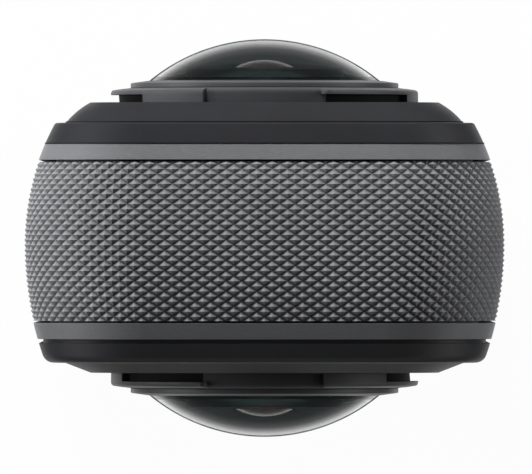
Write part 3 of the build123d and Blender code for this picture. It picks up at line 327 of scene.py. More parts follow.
def clear_glass(name, glass, tint, edge_tint, index, coat):
    """Smoked optical glass with a tinted reflection that changes towards its rim."""
    material, tree, shader, place = start_material(name)
    shader.inputs["Transmission Weight"].default_value = 1.0
    shader.inputs["IOR"].default_value = index
    shader.inputs["Base Color"].default_value = (*glass, 1.0)
    rim = tree.nodes.new("ShaderNodeLayerWeight")
    rim.inputs["Blend"].default_value = 0.35
    ramp = tree.nodes.new("ShaderNodeValToRGB")
    ramp.color_ramp.elements[0].color = (*tint, 1.0)
    ramp.color_ramp.elements[0].position = 0.42
    ramp.color_ramp.elements[1].color = (*edge_tint, 1.0)
    ramp.color_ramp.elements[1].position = 0.62
    tree.links.new(rim.outputs["Facing"], ramp.inputs["Fac"])
    tree.links.new(ramp.outputs["Color"], shader.inputs["Specular Tint"])
    shader.inputs["Coat Weight"].default_value = coat
    shader.inputs["Coat Roughness"].default_value = 0.01
    smear = noise(tree, place, 3 * MM, 3.0)
    tree.links.new(spread(tree, smear, 0.0, 0.012), shader.inputs["Roughness"])
    return material


def coated_element(name, colour):
    """Polished inner lens element with a deep coloured coating and a faint patchy haze of polish."""
    material, tree, shader, place = start_material(name)
    haze = noise(tree, place, 1.2 * MM, 2.0)
    tree.links.new(blend_colour(tree, spread(tree, haze, 0.0, 1.0), shade(colour, 0.7), shade(colour, 1.3)),
                   shader.inputs["Base Color"])
    tree.links.new(spread(tree, haze, 0.03, 0.07), shader.inputs["Roughness"])
    shader.inputs["IOR"].default_value = 3.5
    shader.inputs["Coat Weight"].default_value = 1.0
    shader.inputs["Coat Roughness"].default_value = 0.03
    return material


def dark_glass(name, colour, roughness=0.06):
    """Black cover glass with faint smears, over something dark."""
    material, tree, shader, place = start_material(name)
    smear = noise(tree, mapped(tree, place, (1.0, 1.0, 0.35)), 6 * MM, 4.0)
    tree.links.new(
        blend_colour(tree, spread(tree, smear, 0.0, 1.0), shade(colour, 0.8), shade(colour, 1.3)),
        shader.inputs["Base Color"],
    )
    tree.links.new(spread(tree, smear, roughness, roughness + 0.07), shader.inputs["Roughness"])
    shader.inputs["Coat Weight"].default_value = 0.5
    shader.inputs["Coat Roughness"].default_value = 0.03
    return material


def machined(name, colour, roughness, stretch=(1.0, 1.0, 1.0), grain=0.08 * MM):
    """Turned, plated or drawn metal with fine tool marks."""
    material, tree, shader, place = start_material(name)
    lines = noise(tree, mapped(tree, place, stretch), grain, 3.0, 0.6)
    tree.links.new(
        blend_colour(tree, spread(tree, lines, 0.0, 1.0), shade(colour, 0.82), shade(colour, 1.08)),
        shader.inputs["Base Color"],
    )
    tree.links.new(spread(tree, lines, roughness - 0.05, roughness + 0.08), shader.inputs["Roughness"])
    relief = tree.nodes.new("ShaderNodeBump")
    relief.inputs["Distance"].default_value = 0.006 * MM
    tree.links.new(lines, relief.inputs["Height"])
    tree.links.new(relief.outputs["Normal"], shader.inputs["Normal"])
    shader.inputs["Metallic"].default_value = 1.0
    return material


frame_grey = moulded("frame_grey", (0.145, 0.147, 0.153), 0.42, grain=0.10 * MM, bump=0.004 * MM,
                     stretch=(0.15, 1.0, 1.0), specular=0.35, edge=0.08 * MM)
grip_rubber = moulded("grip_rubber", (0.225, 0.228, 0.236), 0.55, grain=0.09 * MM, bump=0.010 * MM,
                      specular=0.22, edge=0.06 * MM, wear_and_highlight=0.6, valley=0.42)
pad_rubber = moulded("pad_rubber", (0.060, 0.061, 0.064), 0.6, grain=0.09 * MM, bump=0.010 * MM,
                     edge=0.06 * MM, variation=0.05, valley=0.40)
cover_plastic = moulded("cover_plastic", (0.0195, 0.020, 0.0225), 0.45, grain=0.16 * MM, bump=0.010 * MM,
                        specular=0.55)
base_plastic = moulded("base_plastic", (0.04, 0.04, 0.042), 0.5)
mount_metal = moulded("mount_metal", (0.060, 0.061, 0.065), 0.42, grain=0.08 * MM, bump=0.004 * MM,
                      specular=0.45, edge=0.07 * MM, wear_and_highlight=0.8)
seal_rubber = moulded("seal_rubber", (0.02, 0.02, 0.021), 0.7, edge=0.05 * MM)
cut_rim = machined("cut_rim", (0.55, 0.56, 0.58), 0.30)
# Near-black material that stands for the shade in the slots of the lens mount
slot_painted_shade = moulded("slot_painted_shade", (0.010, 0.010, 0.011), 0.6, specular=0.1, wear_and_highlight=0.1)
bezel_metal = moulded("bezel_metal", (0.060, 0.061, 0.064), 0.38, grain=0.08 * MM, bump=0.003 * MM,
                      specular=0.6, edge=0.06 * MM, wear_and_highlight=0.9)
barrel_plastic = moulded("barrel_plastic", (0.012, 0.012, 0.013), 0.6, grain=0.2 * MM, bump=0.02 * MM,
                         specular=0.2, wear_and_highlight=0.2)
dome_coating = clear_glass("dome_coating", (0.64, 0.70, 0.69), tint=(0.45, 0.85, 0.80),
                           edge_tint=(1.0, 0.60, 0.82), index=1.62, coat=0.25)
inner_coating = coated_element("inner_coating", (0.24, 0.07, 0.075))
sensor_glass = dark_glass("sensor_glass", (0.03, 0.04, 0.06))
bracket_metal = machined("bracket_metal", (0.55, 0.55, 0.56), 0.4, (0.1, 1.0, 1.0))
board_mask = moulded("board_mask", (0.02, 0.10, 0.05), 0.35, specular=0.5, wear_and_highlight=0.1)
spreader_metal = machined("spreader_metal", (0.5, 0.5, 0.51), 0.45, (1.0, 1.0, 0.1))
display_black = dark_glass("display_black", (0.010, 0.011, 0.014))
screen_black = dark_glass("screen_black", (0.008, 0.008, 0.010))
inner_plastic = moulded("inner_plastic", (0.03, 0.03, 0.031), 0.55, wear_and_highlight=0.2)
contact_gold = machined("contact_gold", (0.85, 0.64, 0.28), 0.28)
socket_steel = machined("socket_steel", (0.6, 0.6, 0.62), 0.3, (0.2, 1.0, 1.0))
mesh_black = moulded("mesh_black", (0.03, 0.03, 0.031), 0.5, grain=0.3 * MM, bump=0.06 * MM)
insert_steel = machined("insert_steel", (0.5, 0.5, 0.51), 0.3, (1.0, 1.0, 0.3))
magnet_nickel = machined("magnet_nickel", (0.66, 0.65, 0.63), 0.18)
screw_black = machined("screw_black", (0.14, 0.14, 0.145), 0.38)
light_guide = moulded("light_guide", (0.34, 0.35, 0.35), 0.3, specular=0.5, wear_and_highlight=0.1)
door_plastic = moulded("door_plastic", (0.06, 0.061, 0.065), 0.5, grain=0.16 * MM)
button_plastic = moulded("button_plastic", (0.12, 0.121, 0.127), 0.42, grain=0.10 * MM, bump=0.005 * MM)
cell_wrap = moulded("cell_wrap", (0.08, 0.12, 0.25), 0.3, specular=0.5, wear_and_highlight=0.1)
latch_plastic = moulded("latch_plastic", (0.18, 0.181, 0.188), 0.45)
card_plastic = moulded("card_plastic", (0.02, 0.02, 0.021), 0.35, wear_and_highlight=0.2)

finishes = {
    "mid_frame": frame_grey,
    "front_cover": cover_plastic, "rear_cover": cover_plastic,
    "base_plate": base_plastic,
    "front_lens_seal": seal_rubber, "rear_lens_seal": seal_rubber,
    "front_image_sensor": sensor_glass, "rear_image_sensor": sensor_glass,
    "sensor_bracket": bracket_metal, "main_board": board_mask, "heat_spreader": spreader_metal,
    "display_panel": display_black, "screen_glass": screen_black,
    "battery_bay": inner_plastic, "battery_connector": contact_gold,
    "port_bay": inner_plastic, "usb_socket": socket_steel, "card_slot": socket_steel,
    "control_panel": cover_plastic, "side_button_board": board_mask, "button_board": board_mask,
    "speaker": inner_plastic, "speaker_grille": cover_plastic,
    "left_mic_mesh": mesh_black, "right_mic_mesh": mesh_black,
    "tripod_insert": insert_steel, "base_magnets": magnet_nickel, "base_screws": screw_black,
    "front_status_light": light_guide, "rear_status_light": light_guide,
    "usb_door_pin": socket_steel, "usb_door": door_plastic, "usb_door_seal": seal_rubber,
    "shutter_button": button_plastic, "lens_switch_button": button_plastic,
    "power_button": button_plastic, "quick_button": button_plastic,
    "battery_case": inner_plastic, "battery_cells": cell_wrap, "battery_contacts": contact_gold,
    "battery_seal": seal_rubber, "upper_battery_latch": latch_plastic,
    "lower_battery_latch": latch_plastic, "memory_card": card_plastic,
    "battery_cap": grip_rubber, "grip_band": grip_rubber, "front_grip_pad": pad_rubber,
    "front_lens_mount": mount_metal, "rear_lens_mount": mount_metal,
    "front_lens_bezel": bezel_metal, "rear_lens_bezel": bezel_metal,
    "front_dome_glass": dome_coating, "rear_dome_glass": dome_coating,
    "front_lens_barrel": barrel_plastic, "rear_lens_barrel": barrel_plastic,
    "front_inner_lens": inner_coating, "rear_inner_lens": inner_coating,
}
for part, material in finishes.items():
    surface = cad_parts[part].data
    surface.materials.clear()
    surface.materials.append(material)


# Making pieces

def piece(name, mesh, body, material, slot, *nodes, angle=35.0):
    """Turn a finished mesh into a named piece that rides on a body and stands for CAD nodes."""
    bmesh.ops.recalc_face_normals(mesh, faces=mesh.faces)
    data = bpy.data.meshes.new(name)
    mesh.to_mesh(data)
    mesh.free()
    data.materials.append(material)
    made = bpy.data.objects.new(name, data)
    scene.collection.objects.link(made)
    data.shade_smooth()
    data.set_sharp_from_angle(angle=math.radians(angle))
    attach(made, body)
    if nodes:
        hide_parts(*nodes)
    return made


def arc_length(y):
    """Distance along the side section from the crest line to depth y."""
    radius = FRONT_ARC if y >= CREST_Y else REAR_ARC
    return radius * math.asin((y - CREST_Y) / radius)


def depth_at(length):
    """Depth y at a distance along the side section from the crest line."""
    radius = FRONT_ARC if length >= 0 else REAR_ARC
    return CREST_Y + radius * math.sin(length / radius)


def sink(y, below):
    """How far a layer below the side surface lies inside the crest outline at depth y."""
    radius = FRONT_ARC if y >= CREST_Y else REAR_ARC
    return radius - math.sqrt((radius - below) ** 2 - (y - CREST_Y) ** 2)


TOP_RUN = HALF_WIDTH - TOP_CORNER
CORNER_RUN = TOP_RUN + TOP_CORNER * math.pi / 2
SIDE_RUN = CORNER_RUN + BODY_HEIGHT + BASE_CUT - TOP_CORNER - BOTTOM_CORNER
FOOT_RUN = SIDE_RUN + BOTTOM_CORNER * math.pi / 2
HALF_RUN = FOOT_RUN + HALF_WIDTH - BOTTOM_CORNER


def outline(run):
    """Point and outward direction on the body outline, by the distance from its top middle."""
    side = math.copysign(1.0, run)
    run = abs(run)
    if run <= TOP_RUN:
        x, z, turn = run, BODY_HEIGHT, 0.0
    elif run <= CORNER_RUN:
        turn = (run - TOP_RUN) / TOP_CORNER
        x = TOP_RUN + TOP_CORNER * math.sin(turn)
        z = BODY_HEIGHT - TOP_CORNER + TOP_CORNER * math.cos(turn)
    elif run <= SIDE_RUN:
        x, z, turn = HALF_WIDTH, BODY_HEIGHT - TOP_CORNER - (run - CORNER_RUN), math.pi / 2
    elif run <= FOOT_RUN:
        turn = math.pi / 2 + (run - SIDE_RUN) / BOTTOM_CORNER
        x = HALF_WIDTH - BOTTOM_CORNER + BOTTOM_CORNER * math.sin(turn)
        z = BOTTOM_CORNER - BASE_CUT + BOTTOM_CORNER * math.cos(turn)
    else:
        x, z, turn = HALF_WIDTH - BOTTOM_CORNER - (run - FOOT_RUN), -BASE_CUT, math.pi
    return Vector((side * x, 0, z)), Vector((side * math.sin(turn), 0, math.cos(turn)))


def side_run(side, z):
    """Distance round the outline to a height on the straight part of a side wall."""
    return side * (CORNER_RUN + BODY_HEIGHT - TOP_CORNER - z)


def wrapped(flat):
    """Lay a point of the flat pattern (run, arc length, height) on the body."""
    y = depth_at(flat.y)
    place, outward = outline(flat.x)
    place = place - outward * sink(y, -flat.z)
    return Vector((place.x, y, max(place.z, 0.0)))


def rounded_hole(low, high, corner):
    """Corners of a rounded opening, in order, from its lowest and highest flat corner."""
    points = []
    corners = ((high[0], high[1]), (low[0], high[1]), (low[0], low[1]), (high[0], low[1]))
    for turn, (x, y) in enumerate(corners):
        for step in range(HOLE_CORNER_STEPS + 1):
            angle = (turn + step / HOLE_CORNER_STEPS) * math.pi / 2
            points.append(Vector((
                x + corner * (math.cos(angle) - math.copysign(1.0, x - (low[0] + high[0]) / 2)),
                y + corner * (math.sin(angle) - math.copysign(1.0, y - (low[1] + high[1]) / 2)),
                0,
            )))
    return points


def inside_cut(mesh, points):
    """Cut a flat mesh along a convex opening and give back the faces inside it."""
    low = min(point.x for point in points) - KNURL_STEP_X
    high = max(point.x for point in points) + KNURL_STEP_X
    inner = [face for face in mesh.faces if any(low < vert.co.x < high for vert in face.verts)]
    for start, end in zip(points, points[1:] + points[:1]):
        if (end - start).length < 1e-7:
            continue
        outward = Vector((end.y - start.y, start.x - end.x, 0)).normalized()
        geometry = set(inner)
        for face in inner:
            geometry.update(face.edges)
            geometry.update(face.verts)
        cut = bmesh.ops.bisect_plane(mesh, geom=list(geometry), dist=1e-8, plane_co=start, plane_no=outward)
        inner = [
            part for part in cut["geom"]
            if isinstance(part, bmesh.types.BMFace) and (part.calc_center_median() - start).dot(outward) < 0
        ]
    return inner


def knurl_sheet(low, high, step_x, step_y, origin, depth):
    """Flat sheet of pyramids over a span of the pattern, with its valleys along the diamonds."""
    first = [math.floor((low[i] - origin[i]) / step) for i, step in enumerate((step_x, step_y))]
    last = [math.ceil((high[i] - origin[i]) / step) for i, step in enumerate((step_x, step_y))]
    mesh = bmesh.new()
    tips = mesh.verts.layers.float.new("tip")
    bmesh.ops.create_grid(mesh, x_segments=last[0] - first[0], y_segments=last[1] - first[1], size=0.5)
    bmesh.ops.translate(mesh, verts=mesh.verts, vec=(0.5, 0.5, 0))
    bmesh.ops.scale(mesh, verts=mesh.verts, vec=(last[0] - first[0], last[1] - first[1], 1))
    # Every other peak is raised while the squares are split, so that each splits along its valley
    peaks = []
    for vert in mesh.verts:
        column, row = round(vert.co.x) + first[0], round(vert.co.y) + first[1]
        if (column + row) % 2 == 0:
            peaks.append(vert)
            vert.co.z = column % 2
    bmesh.ops.triangulate(mesh, faces=mesh.faces, quad_method="SHORT_EDGE")
    for vert in mesh.verts:
        vert.co = Vector((
            origin[0] + (vert.co.x + first[0]) * step_x, origin[1] + (vert.co.y + first[1]) * step_y, -depth
        ))
    for vert in peaks:
        vert.co.z = 0
        vert[tips] = 1.0
    for axis, end, direction in ((0, low, -1), (0, high, 1), (1, low, -1), (1, high, 1)):
        normal = Vector((0, 0, 0))
        normal[axis] = direction
        stop = Vector((0, 0, 0))
        stop[axis] = end[axis]
        bmesh.ops.bisect_plane(mesh, geom=mesh.faces[:] + mesh.edges[:] + mesh.verts[:], dist=1e-8,
                               plane_co=stop, plane_no=normal, clear_outer=True)
    return mesh


def back_layer(mesh):
    """Close a sheet with a second layer behind it and give back the new points."""
    made = bmesh.ops.extrude_face_region(mesh, geom=mesh.faces[:], use_keep_orig=True)
    return [part for part in made["geom"] if isinstance(part, bmesh.types.BMVert)]


def add_part(mesh, part):
    """Move a finished part into the mesh of its piece."""
    data = bpy.data.meshes.new("part")
    part.to_mesh(data)
    part.free()
    mesh.from_mesh(data)
    bpy.data.meshes.remove(data)


# Grip band, wrapped once round the body with the openings of its sides

columns = 2 * round(HALF_RUN / KNURL_STEP_X)
band_step = 2 * HALF_RUN / columns
lattice = (0.0, arc_length(KNURL_PEAK_Y))
band = knurl_sheet(
    (-HALF_RUN, arc_length(BAND_REAR_Y)), (HALF_RUN, arc_length(BAND_FRONT_Y)), band_step, KNURL_STEP_Y,
    lattice, KNURL_DEPTH,
)


def side_opening(side, low, high, corner, gap):
    """Opening in the flat pattern over a rounded rectangle of a side wall, given as (y, z)."""
    runs = sorted((side_run(side, low[1] - gap), side_run(side, high[1] + gap)))
    return rounded_hole((runs[0], arc_length(low[0] - gap)), (runs[1], arc_length(high[0] + gap)), corner)


def box_opening(part, side, corner, gap=HOLE_GAP):
    """Opening for a CAD node that fills it."""
    low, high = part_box(part)
    return side_opening(side, (low.y, low.z), (high.y, high.z), corner, gap)


cap_low, cap_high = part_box("battery_cap")
base_low, base_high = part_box("base_plate")
openings = [
    box_opening("battery_cap", -1, CAP_OPENING_CORNER, CAP_GAP),
    side_opening(-1, (-CHANNEL_HALF, CHANNEL_LOW), (CHANNEL_HALF, CHANNEL_HIGH), CHANNEL_CORNER, 0.0),
    box_opening("port_bay", -1, PORT_CORNER),
    box_opening("control_panel", 1, PANEL_CORNER),
    box_opening("speaker_grille", 1, GRILLE_CORNER),
    box_opening("left_mic_mesh", -1, MICROPHONE_CORNER),
    box_opening("right_mic_mesh", 1, MICROPHONE_CORNER),
]
# The pattern's two ends meet under the base, so each has half of the base plate's opening
for side in (-1, 1):
    ends = sorted((side * (HALF_RUN + 2 * BASE_PLATE_CORNER), side * (HALF_RUN - base_high.x - HOLE_GAP)))
    openings.append(rounded_hole((ends[0], arc_length(base_low.y - HOLE_GAP)),
                                 (ends[1], arc_length(base_high.y + HOLE_GAP)), BASE_PLATE_CORNER))
for opening in openings:
    bmesh.ops.delete(band, geom=inside_cut(band, opening), context="FACES")
flat_place = band.verts.layers.float_vector.new("flat_place")
for vert in band.verts:
    vert[flat_place] = vert.co
    vert.co = wrapped(vert.co)
bmesh.ops.remove_doubles(band, verts=band.verts, dist=1e-6)
for vert in back_layer(band):
    vert.co = wrapped(Vector((vert[flat_place].x, vert[flat_place].y, -BAND_BACK)))
piece("knurled_band", band, "camera_body", grip_rubber, "grip_black", "grip_band", angle=20.0)


# Battery cap: the same knurl over its outside, with the pockets of its two latches

cap_middle = (cap_low.z + cap_high.z) / 2
pocket_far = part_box("upper_battery_latch")[0].z - LATCH_TRAVEL - LATCH_GAP
pocket_near = cap_high.z - POCKET_WALL
runs = sorted((side_run(-1, cap_low.z), side_run(-1, cap_high.z)))
cap = knurl_sheet(
    (runs[0], arc_length(cap_low.y)), (runs[1], arc_length(cap_high.y)), band_step, KNURL_STEP_Y, lattice,
    KNURL_DEPTH,
)
kept = set(inside_cut(cap, side_opening(-1, (cap_low.y, cap_low.z), (cap_high.y, cap_high.z), CAP_CORNER, 0)))
bmesh.ops.delete(cap, geom=[face for face in cap.faces if face not in kept], context="FACES")
# At each end a wide pocket for the latch, and a narrower way for its tongue out through the wall
for end in (-1, 1):
    for half, far, near in (
        (POCKET_HALF, pocket_far, pocket_near), (TONGUE_HALF, pocket_far, cap_high.z + KNURL_STEP_X)
    ):
        heights = sorted(cap_middle + end * (z - cap_middle) for z in (far, near))
        hole = side_opening(-1, (-half, heights[0]), (half, heights[1]), POCKET_CORNER, 0)
        bmesh.ops.delete(cap, geom=inside_cut(cap, hole), context="FACES")
for vert in cap.verts:
    vert.co = wrapped(vert.co)
for vert in back_layer(cap):
    vert.co.x = -POCKET_FLOOR + POCKET_LAP
# A slab under the knurl is the floor of the pockets
cap_slab = bmesh.ops.create_cube(cap, size=1.0)["verts"]
bmesh.ops.scale(cap, verts=cap_slab, vec=(
    POCKET_FLOOR + cap_high.x, cap_high.y - cap_low.y - POCKET_LAP, cap_high.z - cap_low.z - POCKET_LAP,
))
bmesh.ops.translate(cap, verts=cap_slab, vec=(
    (cap_high.x - POCKET_FLOOR) / 2, (cap_low.y + cap_high.y) / 2, cap_middle,
))
slab_edges = {edge for vert in cap_slab for edge in vert.link_edges}
bmesh.ops.bevel(
    cap, geom=[edge for edge in slab_edges if abs(edge.verts[0].co.x - edge.verts[1].co.x) > MM],
    offset=CAP_CORNER, segments=HOLE_CORNER_STEPS, profile=0.5, affect="EDGES", material=-1,
)
piece("battery_cap_knurled", cap, "battery_module", grip_rubber, "grip_black", "battery_cap", angle=20.0)


# Front grip pad: a soft-edged pad with a field of finer pyramids inside its border

pad_low, pad_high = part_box("front_grip_pad")
pad = bmesh.new()
slab = bmesh.ops.create_cube(pad, size=1.0)["verts"]
pad_top = pad_high.y - PAD_FIELD_RISE
pad_middle = (pad_low.z + pad_high.z) / 2
bmesh.ops.scale(pad, verts=slab, vec=(pad_high.x - pad_low.x, pad_top - pad_low.y, pad_high.z - pad_low.z))
bmesh.ops.translate(pad, verts=slab, vec=(
    (pad_low.x + pad_high.x) / 2, (pad_low.y + pad_top) / 2, pad_middle,
))
bmesh.ops.bevel(
    pad, geom=[edge for edge in pad.edges if abs(edge.verts[0].co.y - edge.verts[1].co.y) > 0.1 * MM],
    offset=PAD_CORNER, segments=PAD_CORNER_STEPS, profile=0.5, affect="EDGES", material=-1,
)
bmesh.ops.bevel(
    pad, geom=[edge for edge in pad.edges if all(vert.co.y > pad_top - 0.01 * MM for vert in edge.verts)],
    offset=PAD_ROUND, segments=3, profile=0.5, affect="EDGES", material=-1,
)
field_low = (pad_low.x + PAD_BORDER, pad_low.z + PAD_BORDER)
field_high = (pad_high.x - PAD_BORDER, pad_high.z - PAD_BORDER)
field = knurl_sheet(field_low, field_high, PAD_STEP_X, PAD_STEP_Z, (0.0, pad_middle), PAD_DEPTH)
kept = set(inside_cut(field, rounded_hole(field_low, field_high, PAD_CORNER - PAD_BORDER)))
bmesh.ops.delete(field, geom=[face for face in field.faces if face not in kept], context="FACES")
back = set(back_layer(field))
for vert in field.verts:
    height = pad_top - PAD_LAP if vert in back else pad_high.y + vert.co.z
    vert.co = Vector((vert.co.x, height, vert.co.y))
add_part(pad, field)
piece("front_grip_pad_knurled", pad, "camera_body", pad_rubber, "grip_black", "front_grip_pad", angle=20.0)


# Lens pieces, turned about the lens axis at the front and turned round again for the rear

def spun(mesh, parts, angle, steps):
    """Spin parts of a mesh about the lens axis and give back what the last step made."""
    made = bmesh.ops.spin(
        mesh, geom=parts, cent=(0, 0, 0), axis=(0, 1, 0), dvec=(0, 0, 0), angle=angle, steps=steps,
        use_merge=abs(angle) > 6.28, use_duplicate=False,
    )
    return made["geom_last"]


def closed_turn(mesh, chain):
    """Join the points of a chain and spin the whole profile round the lens axis."""
    for start, end in zip(chain, chain[1:]):
        mesh.edges.new((start, end))
    spun(mesh, mesh.verts[:] + mesh.edges[:], 2 * math.pi, LENS_STEPS)
    bmesh.ops.remove_doubles(mesh, verts=mesh.verts, dist=1e-7)


def turned(points):
    """Ring from the radius and depth of the corners of its profile."""
    mesh = bmesh.new()
    corners = [mesh.verts.new((radius, y, 0)) for radius, y in points]
    closed_turn(mesh, corners + corners[:1])
    return mesh


def arc_from_axis(mesh, top, centre, foot, radius, steps):
    """Arc of a profile from the lens axis out to a foot radius; gives back its last point."""
    first = mesh.verts.new((0, top, 0))
    made = bmesh.ops.spin(mesh, geom=[first], cent=(0, centre, 0), axis=(0, 0, 1), dvec=(0, 0, 0),
                          angle=-math.asin(foot / radius), steps=steps, use_duplicate=False)
    return [part for part in made["geom_last"] if isinstance(part, bmesh.types.BMVert)][0]


def reach(vert):
    """Distance of a point from the lens axis."""
    return math.hypot(vert.co.x, vert.co.z)


def round_ring(mesh, radius, y, size, steps=3):
    """Round the circular edge that runs at a radius and depth."""
    edges = [
        edge for edge in mesh.edges
        if all(abs(reach(vert) - radius) < 1e-6 and abs(vert.co.y - y) < 1e-6 for vert in edge.verts)
    ]
    bmesh.ops.bevel(mesh, geom=edges, offset=size, segments=steps, profile=0.5, affect="EDGES", material=-1)


def both_sides(name, mesh, body, material, slot, part, angle=35.0, paint=None):
    """Place a turned piece at the front lens and, turned half round, at the rear lens."""
    bmesh.ops.recalc_face_normals(mesh, faces=mesh.faces)
    bmesh.ops.translate(mesh, verts=mesh.verts, vec=(0, 0, LENS_Z))
    for side, turn in (("front", 0.0), ("rear", math.pi)):
        copy = mesh.copy()
        bmesh.ops.rotate(copy, verts=copy.verts, cent=(0, 0, 0), matrix=Matrix.Rotation(turn, 3, "Z"))
        where = body.replace("front", side)
        made = piece(f"{side}_{name}", copy, where, material, slot, f"{side}_{part}", angle=angle)
        if paint:
            made.data.materials.append(paint)
    mesh.free()


# Bezel: a shank with a sloping rim, whose inner edge is cut bright
bezel = turned([
    (BEZEL_BORE, BEZEL_BACK), (BEZEL_SHANK, BEZEL_BACK), (BEZEL_SHANK, BEZEL_UNDERSIDE),
    (BEZEL_RIM, BEZEL_UNDERSIDE), (BEZEL_RIM, BEZEL_EDGE), (BEZEL_MOUTH, BEZEL_CROWN),
    (BEZEL_MOUTH, BEZEL_SEAT), (BEZEL_BORE, BEZEL_SEAT),
])
round_ring(bezel, BEZEL_RIM, BEZEL_EDGE, BEZEL_RIM_ROUND)
round_ring(bezel, BEZEL_MOUTH, BEZEL_CROWN, BEZEL_MOUTH_ROUND)
for face in bezel.faces:
    middle = face.calc_center_median()
    face.material_index = int(math.hypot(middle.x, middle.z) < CUT_RIM_RADIUS and middle.y > CUT_RIM_DEPTH)
both_sides("bezel_turned", bezel, "front_lens_unit", bezel_metal, "bezel_grey", "lens_bezel", paint=cut_rim)

# Dome: a shell of smoked glass, thin over its crown and thicker towards the seat
dome = bmesh.new()
outer = arc_from_axis(dome, DOME_CENTRE + DOME_RADIUS, DOME_CENTRE, DOME_FOOT, DOME_RADIUS, DOME_STEPS)
inner = arc_from_axis(dome, INNER_CROWN, INNER_CROWN - INNER_RADIUS, INNER_FOOT, INNER_RADIUS, DOME_STEPS)
seat = [dome.verts.new((radius, DOME_SEAT, 0)) for radius in (DOME_FOOT, INNER_FOOT)]
closed_turn(dome, [outer] + seat + [inner])
both_sides("dome_shell", dome, "front_lens_unit", dome_coating, "dome_glass", "dome_glass", angle=30.0)

# Inner lens: the crescent seen through the dome
element = bmesh.new()
rim = arc_from_axis(element, ELEMENT_CENTRE + ELEMENT_RADIUS, ELEMENT_CENTRE, ELEMENT_RIM, ELEMENT_RADIUS,
                    ELEMENT_STEPS)
back = [element.verts.new((radius, ELEMENT_BACK, 0)) for radius in (ELEMENT_RIM, 0.0)]
closed_turn(element, [rim] + back)
both_sides("inner_lens_turned", element, "camera_body", inner_coating, "inner_glass", "inner_lens")

# Lens mount: a flanged neck with three lugs, each a rounded tab over a slot and a stop block
mount = turned([
    (MOUNT_BORE, MOUNT_FLOOR), (MOUNT_BORE, MOUNT_STEP), (MOUNT_MOUTH, MOUNT_STEP), (MOUNT_MOUTH, MOUNT_TOP),
    (MOUNT_LIP, MOUNT_TOP), (NECK_HEAD, NECK_SHOULDER), (NECK_HEAD, SLOT_CEILING), (NECK, SLOT_FLOOR),
    (NECK, FLANGE_TOP), (FLANGE, FLANGE_TOP), (FLANGE, MOUNT_BACK), (MOUNT_THROAT, MOUNT_BACK),
    (MOUNT_THROAT, MOUNT_FLOOR),
])
round_ring(mount, NECK_HEAD, NECK_SHOULDER, NECK_ROUND)
round_ring(mount, MOUNT_LIP, MOUNT_TOP, LIP_ROUND, 1)


def bayonet_lug(first):
    """Stop block spun back from its far end, with the tab running on from its upper half."""
    mesh = bmesh.new()
    places = (
        (LUG_ROOT, STOP_FOOT), (LUG_REACH, STOP_FOOT), (LUG_REACH, TAB_UNDERSIDE), (LUG_REACH, TAB_EDGE),
        (LUG_ROOT, TAB_TOP), (LUG_ROOT, TAB_UNDERSIDE),
    )
    low_in, low_out, mid_out, top_out, top_in, mid_in = [mesh.verts.new((r, y, 0)) for r, y in places]
    mesh.faces.new((low_in, low_out, mid_out, mid_in))
    mesh.faces.new((mid_in, mid_out, top_out, top_in))
    last_turn = math.radians(first + TAB_SWEEP + STOP_SWEEP - 90)
    bmesh.ops.rotate(mesh, verts=mesh.verts, cent=(0, 0, 0), matrix=Matrix.Rotation(last_turn, 3, "Y"))
    end = spun(mesh, mesh.verts[:] + mesh.edges[:] + mesh.faces[:], -math.radians(STOP_SWEEP), STOP_STEPS)
    upper = max((part for part in end if isinstance(part, bmesh.types.BMFace)),
                key=lambda face: face.calc_center_median().y)
    end = spun(mesh, [upper] + list(upper.edges) + list(upper.verts), -math.radians(TAB_SWEEP), TAB_STEPS)
    free = [part for part in end if isinstance(part, bmesh.types.BMVert) and reach(part) > NECK_HEAD]
    open_edges = [edge for edge in mesh.edges if edge.is_boundary]
    if open_edges:
        bmesh.ops.holes_fill(mesh, edges=open_edges, sides=8)
    bmesh.ops.recalc_face_normals(mesh, faces=mesh.faces)
    corner = [edge for edge in mesh.edges if edge.verts[0] in free and edge.verts[1] in free]
    bmesh.ops.bevel(mesh, geom=corner, offset=TAB_CORNER, segments=5, profile=0.5, affect="EDGES",
                    material=-1)
    rim = [
        edge for edge in mesh.edges
        if len(edge.link_faces) == 2 and all(reach(vert) > NECK for vert in edge.verts)
        and max(face.normal.y for face in edge.link_faces) > 0.9
        and abs(min((face.normal.y for face in edge.link_faces), key=abs)) < 0.2
    ]
    bmesh.ops.bevel(mesh, geom=rim, offset=TAB_ROUND, segments=3, profile=0.5, affect="EDGES", material=-1)
    return mesh


for count in range(LUGS):
    add_part(mount, bayonet_lug(TAB_START + 360 / LUGS * count))
# Painted shade: the neck faces inside the slot under each tab take the near-black material
for face in mount.faces:
    middle = face.calc_center_median()
    turn = (math.degrees(math.atan2(middle.x, middle.z)) - TAB_START) % (360 / LUGS)
    on_neck = abs(math.hypot(middle.x, middle.z) - NECK) < NECK_SPAN
    in_slot = SLOT_FLOOR < middle.y < SLOT_CEILING and SLOT_START < turn < TAB_SWEEP
    face.material_index = int(on_neck and in_slot)
both_sides("mount_turned", mount, "camera_body", mount_metal, "mount_black", "lens_mount", paint=slot_painted_shade)
